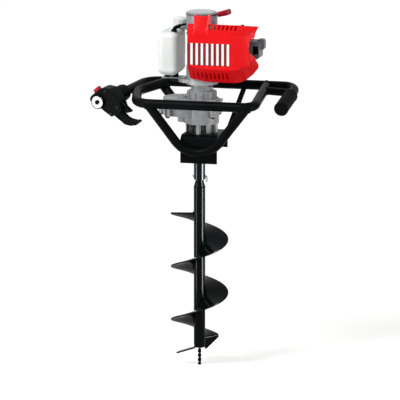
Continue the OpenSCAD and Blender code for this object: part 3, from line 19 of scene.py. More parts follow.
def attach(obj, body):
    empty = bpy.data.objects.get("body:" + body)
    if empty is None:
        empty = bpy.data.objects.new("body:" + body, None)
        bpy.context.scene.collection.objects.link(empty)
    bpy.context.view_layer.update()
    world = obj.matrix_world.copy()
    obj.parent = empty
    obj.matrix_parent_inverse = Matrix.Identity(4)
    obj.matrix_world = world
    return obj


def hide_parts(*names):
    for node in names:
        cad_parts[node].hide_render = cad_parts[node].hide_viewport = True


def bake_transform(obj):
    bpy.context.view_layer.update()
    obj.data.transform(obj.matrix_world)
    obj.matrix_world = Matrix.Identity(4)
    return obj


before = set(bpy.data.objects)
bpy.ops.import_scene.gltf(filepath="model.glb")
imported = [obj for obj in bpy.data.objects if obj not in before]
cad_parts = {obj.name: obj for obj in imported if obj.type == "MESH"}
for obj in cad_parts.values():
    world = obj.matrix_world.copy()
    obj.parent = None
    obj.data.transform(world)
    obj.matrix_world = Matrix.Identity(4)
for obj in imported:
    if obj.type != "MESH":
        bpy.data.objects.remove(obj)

LOG = logging.getLogger("earth_auger")
MM = 0.001
Numbers = Sequence[float]

# The back rail's middle, where the frame, the bars and the throttle head take their places from
RAIL: Numbers = (0.0, 139.0, 717.0)
# Edges sharper than this are rounded, and edges sharper than the next stay sharp in the shading
ROUNDED_FROM = math.radians(33.0)
SHARP_FROM = math.radians(40.0)


def linear(code: str) -> tuple[float, float, float, float]:
    """Turns an sRGB hex value into linear red, green and blue and an alpha of one."""
    parts = [int(code[i:i + 2], 16) / 255 for i in (1, 3, 5)]
    return (*(c / 12.92 if c <= 0.04045 else ((c + 0.055) / 1.055) ** 2.4 for c in parts), 1.0)


def add_node(tree: NodeTree, kind: str, settings: dict[str, Any] | None = None,
             inputs: dict[Any, Any] | None = None) -> bpy.types.Node:
    """Adds a shader node with its settings and links.

    Args:
        tree: the node tree that gets it.
        kind: Blender's class name of the node, without its first word ShaderNode.
        settings: attributes of the node.
        inputs: a value or an output socket for each input, by name or number.

    Returns:
        The new node.
    """
    node = tree.nodes.new("ShaderNode" + kind)
    for key, value in (settings or {}).items():
        setattr(node, key, value)
    for key, value in (inputs or {}).items():
        if isinstance(value, Socket):
            tree.links.new(value, node.inputs[key])
        else:
            node.inputs[key].default_value = value
    return node


def cleared(owner: bpy.types.Material | bpy.types.World) -> NodeTree:
    """Empties the node tree of a material or a world.

    Args:
        owner: the material or the world.

    Returns:
        Its empty tree.
    """
    owner.use_nodes = True
    owner.node_tree.nodes.clear()
    return owner.node_tree


def add_object(name: str, data: bpy.types.ID) -> Object:
    """Puts new data into the scene.

    Args:
        name: name of the object.
        data: its mesh, curve, camera or lamp.

    Returns:
        The object.
    """
    thing = bpy.data.objects.new(name, data)
    bpy.context.scene.collection.objects.link(thing)
    return thing


def aim(thing: Object, way: Vector) -> None:
    """Turns a camera or a lamp to look along a way."""
    thing.rotation_mode = "QUATERNION"
    thing.rotation_quaternion = way.to_track_quat("-Z", "Y")


class Making(Enum):
    """How a surface was made; the value stretches its grain along X, Y and Z."""

    SPRAYED = (1.0, 1.0, 0.8)
    CAST = (1.0, 1.0, 1.0)
    TURNED = (0.04, 0.04, 1.0)
    ROLLED = (0.12, 1.0, 1.0)
    MOULDED = (0.9, 1.0, 1.0)
    LAID = (1.0, 1.0, 0.4)


@dataclass(frozen=True)
class Finish:
    """One real material and the way its surface was made.

    The grain, the slow patches of the shade tone and the blots of worn colour and of painted shade are widths
    in millimetres, and the depth is the height of the grain's bumps.
    """

    name: str
    slot: str
    making: Making
    colour: str
    shade: str
    metallic: float = 0.0
    roughness: float = 0.5
    spread: float = 0.05
    grain: float = 1.0
    depth: float = 0.01
    patch: float = 60.0
    coat: float = 0.0
    specular: float = 0.5
    sheen: float = 0.0
    subsurface: float = 0.0
    worn: str = ""
    # Colour of the painted shade on faces marked for it
    deep: str = ""
    blot: float = 9.0

    def material(self) -> bpy.types.Material:
        """Makes the material, unless it is there.

        Returns:
            The material, named after the finish.
        """
        known = bpy.data.materials.get(self.name)
        if known:
            return known
        material = bpy.data.materials.new(self.name)
        tree = cleared(material)
        place = add_node(tree, "TexCoord").outputs["Object"]
        stretched = add_node(tree, "Mapping", inputs={
            "Vector": place, "Scale": self.making.value}).outputs[0]
        fine = add_node(tree, "TexNoise", inputs={
            "Vector": stretched, "Scale": 1 / (self.grain * MM), "Detail": 3.0}).outputs["Fac"]
        slow = add_node(tree, "TexNoise", inputs={
            "Vector": place, "Scale": 1 / (self.patch * MM), "Detail": 4.0}).outputs["Fac"]
        lean = add_node(tree, "MapRange", {"interpolation_type": "SMOOTHSTEP"}, {
            "Value": slow, "From Min": 0.35, "From Max": 0.65}).outputs[0]
        colour = add_node(tree, "Mix", {"data_type": "RGBA"}, {
            0: lean, 6: linear(self.colour), 7: linear(self.shade)}).outputs[2]
        if self.worn:
            colour = self._marked(tree, place, colour, "edge", self.worn, (0.2, 0.6))
        # Painted shade: the marked faces take a darker colour that stands in for shade
        if self.deep:
            colour = self._marked(tree, place, colour, "deep", self.deep, (0.85, 1.0))
        rough = add_node(tree, "MapRange", inputs={
            "Value": fine, "From Min": 0.3, "From Max": 0.7,
            "To Min": self.roughness - self.spread, "To Max": self.roughness + self.spread}).outputs[0]
        bump = add_node(tree, "Bump", inputs={
            "Height": fine, "Distance": self.depth * MM, "Strength": 0.6}).outputs[0]
        shader = add_node(tree, "BsdfPrincipled", inputs={
            "Base Color": colour, "Roughness": rough, "Normal": bump, "Metallic": self.metallic,
            "Coat Weight": self.coat, "Coat Roughness": 0.12, "Specular IOR Level": self.specular,
            "Sheen Weight": self.sheen})
        if self.subsurface:
            shader.inputs["Subsurface Weight"].default_value = self.subsurface
            shader.inputs["Subsurface Radius"].default_value = (1.0, 1.0, 1.0)
            shader.inputs["Subsurface Scale"].default_value = 4 * MM
        add_node(tree, "OutputMaterial", inputs={"Surface": shader.outputs[0]})
        return material

    def _marked(self, tree: NodeTree, place: Socket, colour: Socket,
                mark: str, other: str, share: Numbers) -> Socket:
        """Lets another colour through in blots where the faces are marked.

        Args:
            tree: the material's tree.
            place: the coordinates.
            colour: the colour where nothing is marked.
            mark: name of the attribute that marks the faces.
            other: hex value of the other colour.
            share: how much of it comes through between the blots and in them.

        Returns:
            The mixed colour.
        """
        shown = add_node(tree, "Attribute", {"attribute_name": mark}).outputs["Fac"]
        blot = add_node(tree, "TexNoise", inputs={
            "Vector": place, "Scale": 1 / (self.blot * MM), "Detail": 4.0}).outputs["Fac"]
        thin = add_node(tree, "MapRange", inputs={
            "Value": blot, "From Min": 0.3, "From Max": 0.6,
            "To Min": share[0], "To Max": share[1]}).outputs[0]
        mask = add_node(tree, "Math", {"operation": "MULTIPLY"}, {0: shown, 1: thin}).outputs[0]
        return add_node(tree, "Mix", {"data_type": "RGBA"}, {
            0: mask, 6: colour, 7: linear(other)}).outputs[2]


# Powder-coated steel: satin black with greyed edges and a soft orange peel, real about 1.5 mm, drawn coarser
FRAME_BLACK = Finish(
    "powder_coated_steel_black", "black_paint", Making.SPRAYED, "#0c0d0e", "#08090a",
    roughness=0.34, grain=2.0, depth=0.03, specular=0.03, worn="#161718")
# Enamelled steel of the bit: glossier black with a cool cast, runs of paint and rubbed rims
BIT_BLACK = Finish(
    "sprayed_enamel_steel_black", "black_paint", Making.SPRAYED, "#07100f", "#050b0b",
    roughness=0.1, spread=0.02, grain=4.0, depth=0.004, specular=0.035, worn="#1b2423")
# Shot-blasted die-cast aluminium: matt silver grey with a grain of about 0.8 mm, drawn coarser to show, and
# painted near black as painted shade where its faces are marked
CAST_ALLOY = Finish(
    "blasted_cast_aluminium", "cast_alloy", Making.CAST, "#a9abad", "#95979a",
    metallic=0.6, spread=0.08, grain=1.4, depth=0.06, patch=35.0, worn="#b9bbbd", deep="#1b1b1b")
# Turned and ground steel: fine rings about the shaft and a clear highlight
TURNED_STEEL = Finish(
    "turned_ground_steel", "machined_steel", Making.TURNED, "#8f9294", "#7f8284",
    metallic=1.0, roughness=0.3, spread=0.07, grain=0.5, worn="#b9bbbc")
# Machined grey iron of the flywheel: darker, with a dull grain
FLYWHEEL_IRON = Finish(
    "machined_grey_iron", "flywheel_iron", Making.TURNED, "#6d7073", "#5b5e60",
    metallic=1.0, roughness=0.45, spread=0.08, grain=0.8, depth=0.02)
# Chrome-plated steel: nearly a mirror, its colour painted near black as a painted dark reflection, two bright
# streaks, faint polishing rings, and rounded rims painted near white
CHROME_PAINTED_DARK = Finish(
    "polished_chrome_plate", "chrome_steel", Making.TURNED, "#1b1e1f", "#17191a",
    metallic=1.0, roughness=0.1, spread=0.03, grain=0.6, depth=0.002, worn="#e9ebec")
# Rolled zinc-plated sheet: pale grey with streaks along the rolling direction
SHEET_STEEL = Finish(
    "rolled_zinc_sheet", "sheet_steel", Making.ROLLED, "#9a9d9f", "#85888a",
    metallic=0.9, roughness=0.4, spread=0.08, grain=0.9)
# Bright-rolled aluminium sheet of the heat shield: throws the white room back through the slots
SHIELD_ALLOY = Finish(
    "bright_rolled_aluminium_sheet", "shield_alloy", Making.ROLLED, "#fdfcfd", "#f8f6f8",
    metallic=1.0, roughness=0.14, spread=0.04, grain=1.2, depth=0.002)
# Painted die-cast starter housing: smooth mid grey with a little gloss
STARTER_GREY = Finish(
    "painted_cast_grey", "starter_grey", Making.SPRAYED, "#8b9093", "#7f8487",
    metallic=0.3, roughness=0.34, grain=1.8, depth=0.02, coat=0.15, worn="#a9adaf")
# Sheet lid of the starter: the drum's grey, flatter, and painted paler as a painted highlight on the drum's
# top
LID_GREY_PAINTED_HIGHLIGHT = Finish(
    "painted_sheet_pale_grey", "starter_grey", Making.SPRAYED, "#c3c6c7", "#b8bbbd",
    roughness=0.4, grain=1.8)
# Moulded rubber: matt charcoal with a fine tooth, real about 0.3 mm, drawn coarser to show
BLACK_RUBBER = Finish(
    "moulded_rubber_black", "black_rubber", Making.MOULDED, "#0b0c0c", "#080909",
    roughness=0.55, spread=0.08, grain=0.9, depth=0.05, specular=0.04)
# Glass-filled nylon: dark, spark-eroded grain about 0.5 mm wide, drawn coarser to show
BLACK_NYLON = Finish(
    "grained_nylon_black", "black_plastic", Making.MOULDED, "#0d0e0f", "#090a0a",
    roughness=0.4, spread=0.07, grain=1.2, depth=0.03, specular=0.03, worn="#161718")
# Glossy moulded ABS of the shroud: clear red, faint flow waves, paler edges, and the bars between the slots
# painted dark red as painted shade
SHROUD_RED = Finish(
    "glossy_abs_red", "red_plastic", Making.MOULDED, "#f2171d", "#e9141a",
    roughness=0.3, spread=0.04, grain=6.0, specular=0.1, worn="#f63a3c", deep="#861a1f")
# Moulded ABS of the stop switch: glossy signal red
SWITCH_RED = Finish(
    "moulded_abs_signal_red", "switch_red", Making.MOULDED, "#b8122e", "#a90f28",
    roughness=0.4, grain=1.5, specular=0.15, worn="#c52a42")
# Moulded polypropylene of the pull: dark crimson with a waxy gloss
PULL_CRIMSON = Finish(
    "moulded_polypropylene_crimson", "handle_red", Making.MOULDED, "#ab1030", "#980c29",
    roughness=0.42, grain=1.5, depth=0.015, specular=0.1, worn="#b82443")
# Blow-moulded polyethylene: milky white that lets light in, slightly wavy wall
TANK_WHITE = Finish(
    "blow_moulded_polyethylene_white", "tank_white", Making.MOULDED, "#e9edeb", "#e2e7e5",
    roughness=0.38, grain=12.0, depth=0.06, subsurface=0.2)
# Moulded white button: smooth and glossy
BUTTON_WHITE = Finish(
    "moulded_abs_white", "button_white", Making.MOULDED, "#efefec", "#e6e6e2",
    roughness=0.3, spread=0.04, grain=2.0)
# Moulded silicone of the plug cap: blue grey, soft and dull
CAP_GREY = Finish(
    "moulded_silicone_grey", "cap_grey", Making.MOULDED, "#737a80", "#676e74",
    roughness=0.46, spread=0.06, grain=1.2, depth=0.02, worn="#8e959b")
# Glazed ceramic of the spark plug: warm white and shiny
PLUG_CERAMIC = Finish(
    "glazed_alumina_ceramic", "plug_ceramic", Making.MOULDED, "#f1eee7", "#e8e4da",
    roughness=0.12, spread=0.03, grain=3.0, depth=0.005)
# Blackened screw steel: dark brown grey with a dry oil sheen
DARK_SCREW = Finish(
    "blackened_screw_steel", "dark_screw", Making.TURNED, "#2e2829", "#231f20",
    metallic=0.8, roughness=0.42, spread=0.08, grain=0.4, worn="#5a5354")
# Laid polyester rope: off-white strands with fuzz between the lays
ROPE = Finish(
    "laid_polyester_rope", "rope_fibre", Making.LAID, "#e4e1d7", "#cfcabd",
    roughness=0.8, spread=0.08, grain=0.5, depth=0.06, sheen=0.2)
# Moulded natural nylon of the reel: warm, waxy off-white
REEL_NYLON = Finish(
    "moulded_natural_nylon", "reel_nylon", Making.MOULDED, "#d9d6cd", "#cfcbbf",
    roughness=0.4, spread=0.06, grain=1.5)
# Bonded friction lining of the clutch: brown grey, open and dusty
SHOE_LINING = Finish(
    "bonded_friction_lining", "shoe_lining", Making.CAST, "#5b5450", "#4b4541",
    roughness=0.85, spread=0.08, depth=0.08)


def mm(*place: float) -> Vector:
    """Gives a place in millimetres as metres."""
    return Vector(place) * MM


def outward(bm: BMesh) -> BMesh:
    """Turns the normals of a mesh outwards and returns it."""
    bmesh.ops.recalc_face_normals(bm, faces=bm.faces)
    return bm


def thicken(bm: BMesh, thickness: float) -> BMesh:
    """Gives a sheet a thickness in millimetres and returns it."""
    bmesh.ops.solidify(bm, geom=bm.faces[:], thickness=thickness * MM)
    return outward(bm)


def to_mesh(name: str, bm: BMesh) -> bpy.types.Mesh:
    """Writes a mesh in the making into a lasting one.

    Args:
        name: name of the lasting mesh.
        bm: the mesh in the making, which is used up.

    Returns:
        The lasting mesh.
    """
    mesh = bpy.data.meshes.new(name)
    bm.to_mesh(mesh)
    bm.free()
    return mesh


def lathe(profile: Iterable[Numbers], steps: int = 48) -> BMesh:
    """Turns a profile once round the Z axis.

    Args:
        profile: radius and height of each point, in millimetres.
        steps: how many faces go round.

    Returns:
        The closed mesh.
    """
    bm = bmesh.new()
    points = [bm.verts.new(mm(r, 0, z)) for r, z in profile]
    edges = [bm.edges.new(pair) for pair in zip(points, points[1:])]
    bmesh.ops.spin(bm, geom=points + edges, cent=(0, 0, 0), axis=(0, 0, 1), angle=math.tau,
                   steps=steps, use_merge=True)
    bmesh.ops.remove_doubles(bm, verts=bm.verts, dist=1e-6)
    return outward(bm)


def wind(bm: BMesh, start: float, turns: float, rise: float, steps: int) -> BMesh:
    """Winds a face of the XZ plane about the Z axis.

    Args:
        bm: the mesh with the face.
        start: angle of the lower end, in degrees.
        turns: number of turns, counter-clockwise seen from above.
        rise: height gained in all.
        steps: how many lengths it gets.

    Returns:
        The same mesh, closed.
    """
    put(bm, turned(("Z", start)))
    bmesh.ops.spin(bm, geom=bm.verts[:] + bm.edges[:] + bm.faces[:], cent=(0, 0, 0), axis=(0, 0, 1),
                   dvec=(0, 0, rise * MM / steps), angle=math.tau * turns, steps=steps)
    return outward(bm)


def wire_end(radius: float, low: float, wire: float) -> BMesh:
    """Makes the round end of a wire in the XZ plane, ready to be wound.

    Args:
        radius: distance of the wire's middle from the axis.
        low: height of the wire's middle.
        wire: radius of the wire.

    Returns:
        The mesh with its one face.
    """
    bm = bmesh.new()
    stand = turned(("at", (radius, 0, low)), ("X", 90))
    bmesh.ops.create_circle(bm, cap_ends=True, segments=8, radius=wire * MM, matrix=stand)
    return bm


def grow(bm: BMesh, row: list[BMEdge]) -> tuple[list[BMVert], list[BMEdge]]:
    """Extrudes a row of edges.

    Args:
        bm: the mesh.
        row: the edges.

    Returns:
        The points and the edges of the new row.
    """
    grown = bmesh.ops.extrude_edge_only(bm, edges=row)["geom"]
    verts = [g for g in grown if isinstance(g, BMVert)]
    return verts, [g for g in grown if isinstance(g, BMEdge) and set(g.verts) <= set(verts)]


def sweep(path: Sequence[Numbers], radius: float, sides: int = 8, closed: bool = False) -> BMesh:
    """Draws a round section along a line of points.

    Args:
        path: the points, in millimetres.
        radius: radius of the section.
        sides: how many faces go round it.
        closed: whether the line runs back into its first point.

    Returns:
        The closed mesh.
    """
    points = [mm(*p) for p in path]
    last = len(points) - 1
    ways = [points[min(i + 1, last)] - points[max(i - 1, 0)] for i in range(last + 1)]
    if closed:
        ways = [points[(i + 1) % (last + 1)] - points[i - 1] for i in range(last + 1)]
    bm = bmesh.new()
    stand = Matrix.Translation(points[0]) @ ways[0].to_track_quat("Z", "Y").to_matrix().to_4x4()
    bmesh.ops.create_circle(bm, segments=sides, radius=radius * MM, matrix=stand)
    first = ring = bm.edges[:]
    for i in range(1, last + 1):
        verts, ring = grow(bm, ring)
        turn = ways[i - 1].rotation_difference(ways[i]).to_matrix().to_4x4()
        move = Matrix.Translation(points[i]) @ turn @ Matrix.Translation(-points[i - 1])
        bmesh.ops.transform(bm, matrix=move, verts=verts)
    if closed:
        bmesh.ops.bridge_loops(bm, edges=first + ring)
    else:
        bmesh.ops.holes_fill(bm, edges=first + ring, sides=sides)
    return outward(bm)


def joined(*parts: BMesh) -> BMesh:
    """Puts several meshes into one.

    Args:
        parts: the meshes, which are used up.

    Returns:
        The one mesh.
    """
    bm = bmesh.new()
    for part in parts:
        mesh = to_mesh("part", part)
        bm.from_mesh(mesh)
        bpy.data.meshes.remove(mesh)
    return bm


def put(bm: BMesh, matrix: Matrix) -> BMesh:
    """Moves a whole mesh and returns it."""
    bmesh.ops.transform(bm, matrix=matrix, verts=bm.verts)
    return bm


def turned(*steps: tuple[str, Any]) -> Matrix:
    """Multiplies moves and turns into one matrix.

    Args:
        steps: "at" with a place in millimetres, or an axis with an angle in degrees, outermost first.

    Returns:
        The matrix.
    """
    result = Matrix.Identity(4)
    for kind, value in steps:
        if kind == "at":
            result = result @ Matrix.Translation(mm(*value))
        else:
            result = result @ Matrix.Rotation(math.radians(value), 4, kind)
    return result


@dataclass(frozen=True)
class Tube:
    """A straight round tube: a point on its axis, its way and its radius, in millimetres."""

    at: Numbers
    way: Numbers
    radius: float

    @property
    def axis(self) -> Vector:
        """Gives the tube's way with a length of one."""
        return Vector(self.way).normalized()

    def ring(self, count: int = 32) -> list[Vector]:
        """Finds points on the tube's outside, round its own point.

        Args:
            count: how many there are, evenly spaced.

        Returns:
            The points, in millimetres.
        """
        side = self.axis.orthogonal().normalized()
        up = self.axis.cross(side)
        angles = [math.tau * k / count for k in range(count)]
        return [Vector(self.at) + (side * math.cos(a) + up * math.sin(a)) * self.radius for a in angles]

    def saddle(self, other: "Tube") -> list[Vector]:
        """Finds the closed line where the tube, on its way, meets the side of another.

        Args:
            other: the tube that it runs into.

        Returns:
            The points of the line, in millimetres.
        """
        axis, along = self.axis, other.axis
        move = axis - along * axis.dot(along)
        whole = move.dot(move)
        line = []
        for spot in self.ring():
            gap = spot - Vector(other.at)
            gap -= along * gap.dot(along)
            half = gap.dot(move)
            root = math.sqrt(max(half * half - whole * (gap.dot(gap) - other.radius ** 2), 0.0))
            line.append(spot - axis * ((half + root) / whole))
        return line


def screw_head(radius: float, height: float) -> BMesh:
    """Makes a pan-head screw with a round drive, standing on the ground.

    Args:
        radius: radius of the head.
        height: height of the head.

    Returns:
        The closed mesh.
    """
    drive = radius * 0.42
    return lathe([(0, height * 0.35), (drive, height * 0.4), (drive, height * 0.98), (radius * 0.7, height),
                  (radius * 0.94, height * 0.7), (radius, height * 0.3), (radius, -0.4), (0, -0.4)], 24)


def copy_of(node: str) -> BMesh:
    """Copies a node's mesh and joins its loose triangles.

    Args:
        node: name of the node.

    Returns:
        The copy, with flat regions joined into single faces.
    """
    bm = bmesh.new()
    bm.from_mesh(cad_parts[node].data)
    bmesh.ops.remove_doubles(bm, verts=bm.verts, dist=2e-6)
    bmesh.ops.dissolve_degenerate(bm, edges=bm.edges, dist=1e-6)
    bmesh.ops.dissolve_limit(bm, angle_limit=math.radians(0.6), verts=bm.verts, edges=bm.edges)
    return bm


def round_edges(bm: BMesh, width: float, segments: int = 2) -> None:
    """Rounds the sharp edges and marks them as rubbed.

    Args:
        bm: the mesh.
        width: width of the rounding, in millimetres.
        segments: faces across it.
    """
    edge = bm.faces.layers.float.new("edge")
    sharp = [e for e in bm.edges if len(e.link_faces) == 2 and e.calc_face_angle(0) > ROUNDED_FROM]
    made = bmesh.ops.bevel(bm, geom=sharp, offset=width * MM, offset_type="OFFSET", segments=segments,
                           profile=0.5, affect="EDGES", clamp_overlap=True, material=-1)
    for face in made["faces"]:
        face[edge] = 1.0


@dataclass
class SubAssembly:
    """A group of pieces that is built and dressed together."""

    body: str = "frame"
    made: list[str] = field(default_factory=list)

    def piece(self, name: str, bm: BMesh, finish: Finish, body: str | None = "",
              stands_for: Sequence[str] = ()) -> Object:
        """Makes an object of a mesh, dresses it and lets it ride.

        Args:
            name: name of the piece.
            bm: its mesh, which is used up.
            finish: its finish.
            body: the body that it rides on, nothing for the group's own, or None to leave it on no body.
            stands_for: nodes that it replaces.

        Returns:
            The object.
        """
        mesh = to_mesh(name, bm)
        mesh.shade_smooth()
        mesh.set_sharp_from_angle(angle=SHARP_FROM)
        mesh.materials.append(finish.material())
        thing = add_object(name, mesh)
        thing.modifiers.new("even_normals", "WEIGHTED_NORMAL").keep_sharp = True
        if body is not None:
            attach(thing, body or self.body)
        if stands_for:
            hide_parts(*stands_for)
        self.made.append(name)
        return thing

    def soften(self, node: str, finish: Finish, width: float, segments: int = 2, body: str = "",
               dark: Numbers = ()) -> None:
        """Replaces a node by a copy with rounded edges.

        Args:
            node: name of the node.
            finish: its finish.
            width: width of the rounding, in millimetres, or nought for none.
            segments: faces across the rounding.
            body: the body that it rides on, or none for the group's own.
            dark: lowest and highest millimetre and reach from the axis of a stretch whose faces are marked to
                take painted shade.
        """
        bm = copy_of(node)
        # Faces in the stretch are marked to take painted shade.
        if dark:
            for height in dark[:2]:
                bmesh.ops.bisect_plane(bm, geom=bm.verts[:] + bm.edges[:] + bm.faces[:], dist=1e-6,
                                       plane_co=mm(0, 0, height), plane_no=(0, 0, 1))
            deep = bm.faces.layers.float.new("deep")
            for face in bm.faces:
                spot = face.calc_center_median() / MM
                face[deep] = float(dark[0] < spot.z < dark[1] and spot.xy.length < dark[2])
        if width:
            round_edges(bm, width, segments)
        self.piece(node + "_shown", bm, finish, body, (node,))

    def dress(self, finish: Finish, *nodes: str) -> None:
        """Gives a finish to nodes that show as they are.

        Args:
            finish: the finish.
            nodes: names of the nodes.
        """
        for node in nodes:
            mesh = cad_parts[node].data
            mesh.materials.clear()
            mesh.materials.append(finish.material())
            self.made.append(node)

    def build(self) -> None:
        """Builds and dresses the group's pieces."""
        raise NotImplementedError


@dataclass
class EarthBit(SubAssembly):
    """The bit with its stem, flight, blades and tip, and the coupling above it."""

    body: str = "bit"
    stem_radius: float = 15.0
    shoulder: float = 468.0
    flight_radius: float = 75.0
    flight_low: float = 69.0
    flight_pitch: float = 139.6
    flight_turns: float = 2.36
    flight_start: float = 63.0
    flight_thick: float = 4.0
    flight_steps: int = 236
    bead: float = 2.0
    bead_steps: int = 150
    shoulder_bead: float = 1.4

    @property
    def flight_rise(self) -> float:
        """Gives the height that the flight gains in all."""
        return self.flight_pitch * self.flight_turns

    def build(self) -> None:
        """Builds the flight, its welds and the rest of the bit."""
        self._flight()
        self.soften("bit_stem", BIT_BLACK, 0.6)
        self.soften("cutter_blades", BIT_BLACK, 0.6)
        self.soften("pilot_tip", BIT_BLACK, 0.0)
        # The sleeve's near-black colour is a painted dark reflection.
        self.soften("coupling_sleeve", CHROME_PAINTED_DARK, 1.0)
        self.soften("cross_pins", TURNED_STEEL, 0.6)
        self.dress(TURNED_STEEL, "pin_ring", "output_shaft", "output_gear")
        self._welds()

    def _flight(self) -> None:
        """Winds the flight as one even screw surface with a rounded rim."""
        half, root, rim = self.flight_thick / 2, self.stem_radius - 0.2, self.flight_radius
        lower = [(root, -half), (rim - 0.9, -half), (rim - 0.2, -half * 0.7), (rim, -half * 0.3)]
        section = lower + [(r, -z) for r, z in reversed(lower)]
        bm = bmesh.new()
        bm.faces.new([bm.verts.new(mm(r, 0, self.flight_low + z)) for r, z in section])
        wind(bm, self.flight_start, self.flight_turns, self.flight_rise, self.flight_steps)
        edge = bm.faces.layers.float.new("edge")
        for side in bm.faces:
            side[edge] = float(side.calc_center_median().xy.length > (rim - 1.2) * MM)
        self.piece("bit_flight_shown", bm, BIT_BLACK, stands_for=("bit_flight",))

    def _welds(self) -> None:
        """Lays a bead along the flight's root, above and below it, and one under the shoulder."""
        for side, name in ((1, "upper"), (-1, "lower")):
            low = self.flight_low + side * (self.flight_thick / 2 + 0.6)
            bm = wire_end(self.stem_radius + 0.7, low, self.bead)
            wind(bm, self.flight_start, self.flight_turns, self.flight_rise, self.bead_steps)
            self.piece(f"flight_weld_{name}", bm, BIT_BLACK)
        bm = wind(wire_end(self.stem_radius - 0.4, self.shoulder, self.shoulder_bead), 0.0, 1.0, 0.0, 48)
        bmesh.ops.remove_doubles(bm, verts=bm.verts, dist=1e-6)
        self.piece("shoulder_weld", bm, BIT_BLACK)


@dataclass
class CarryFrame(SubAssembly):
    """The bracket, the bent tubes with their welds, and the right grip.

    The tubes are given by their radii. A loop run is how far an end of the loop goes to the side and back.
    """

    tube: float = 12.5
    strut: float = 12.0
    brace: float = 10.0
    bar_x: float = 225.0
    bar_tilt: float = 10.2
    front_rail: Numbers = (0.0, -76.0, 693.45)
    loop_x: Numbers = (-118.0, 145.5)
    loop_runs: Sequence[Numbers] = ((58.0, 100.0), (-16.5, 216.3))
    loop_tilt: float = 6.25
    bracket_x: float = 12.0
    bracket_half: float = 60.0
    bend_height: float = 644.4
    bend_radii: Numbers = (68.5, 81.5)
    strut_top: Numbers = (-72.05, 693.45)
    strut_reach: float = 133.5
    strut_rise: float = 170.9
    rear_x: float = -140.0
    rear_foot: Numbers = (-12.0, 60.05, 590.0)
    rear_way: Numbers = (-128.0, 78.95, 127.0)
    brace_left: Numbers = (149.0, 89.3, 711.6)
    brace_right: Numbers = (225.0, 89.8, 708.1)
    brace_way: Numbers = (79.5, 0.5, -3.5)
    grip_radius: float = 19.0
    grip_from: float = 69.0
    grip_to: float = 177.0
    grip_ribs: int = 13
    bead: float = 2.3
    thin_bead: float = 2.0

    def build(self) -> None:
        """Dresses the tubes and builds the welds and the grip."""
        for node in ("handlebar", "guard_loop", "front_strut", "rear_strut", "rear_stay", "handle_brace"):
            self.soften(node, FRAME_BLACK, 0.0)
        self.soften("engine_bracket", FRAME_BLACK, 1.2)
        self._rail_welds()
        self._bracket_welds()
        self._grip()

    def _rail_welds(self) -> None:
        """Lays a bead where each tube runs into a rail."""
        _, y, z = RAIL
        t, b = math.radians(self.loop_tilt), math.radians(self.bar_tilt)
        rail, front = (Tube(spot, (1.0, 0.0, 0.0), self.tube) for spot in (RAIL, self.front_rail))
        left, right = (Tube((x, y, z), (side, back * math.cos(t), back * math.sin(t)), self.tube)
                       for x, (side, back) in zip(self.loop_x, self.loop_runs))
        bar = Tube((self.bar_x, y, z), (0.0, -math.cos(b), -math.sin(b)), self.tube)
        meets = {
            "loop_left": (left, rail),
            "loop_right": (right, rail),
            "rear_strut": (Tube((self.rear_x, y, z), self.rear_way, self.strut), rail),
            "brace_loop": (Tube(self.brace_left, [-c for c in self.brace_way], self.brace), right),
            "brace_bar": (Tube(self.brace_right, self.brace_way, self.brace), bar),
        }
        for name, reach in (("strut_left", -self.strut_reach), ("strut_right", self.strut_reach)):
            strut = Tube((self.bracket_x + reach, *self.strut_top), (reach, 0.0, self.strut_rise), self.strut)
            meets[name] = (strut, front)
        for name, (tube, other) in meets.items():
            bead = sweep(tube.saddle(other), self.bead, closed=True)
            self.piece(f"{name}_weld", bead, FRAME_BLACK)

    def _bracket_welds(self) -> None:
        """Lays beads where the front strut and the rear strut lie on the bracket."""
        bend = turned(("at", (self.bracket_x, -self.bracket_half - 1.2, self.bend_height)))
        for name, radius in zip(("inner", "outer"), self.bend_radii):
            angles = [math.radians(-90 + 3 * k) for k in range(-12, 13)]
            line = [(radius * math.cos(a), 0.0, radius * math.sin(a)) for a in angles]
            self.piece(f"front_bend_weld_{name}", put(sweep(line, self.thin_bead), bend), FRAME_BLACK)
        strut = Tube(self.rear_foot, self.rear_way, self.strut)
        flange = self.bracket_half + 0.6
        foot = [spot + strut.axis * ((flange - spot.y) / strut.axis.y) for spot in strut.ring(36)]
        self.piece("rear_strut_foot_weld", sweep(foot, self.thin_bead, closed=True), FRAME_BLACK)

    def _grip(self) -> None:
        """Turns the ribbed rubber grip with its closed end."""
        r, low, high = self.grip_radius, self.grip_from, self.grip_to
        profile = [(0, high - 4.8), (12.8, high - 4.8), (12.8, low), (r - 0.8, low), (r, low + 1),
                   (r, low + 5), (r - 0.8, low + 6)]
        pitch = (high - low - 16) / self.grip_ribs
        for k in range(self.grip_ribs):
            z = low + 8 + k * pitch
            profile += [(r - 1.5, z), (r - 0.6, z + pitch * 0.25), (r - 0.6, z + pitch * 0.6),
                        (r - 1.5, z + pitch * 0.85)]
        profile += [(r - 0.8, high - 7), (r, high - 6), (r, high - 3.5), (r - 1, high - 1.4), (r - 3.5, high),
                    (0, high)]
        bar = turned(("at", RAIL), ("X", self.bar_tilt), ("at", (self.bar_x, 0, 0)), ("X", 90))
        grip = put(lathe(profile, 56), bar)
        self.piece("right_grip_ribbed", grip, BLACK_RUBBER, stands_for=("right_grip",))


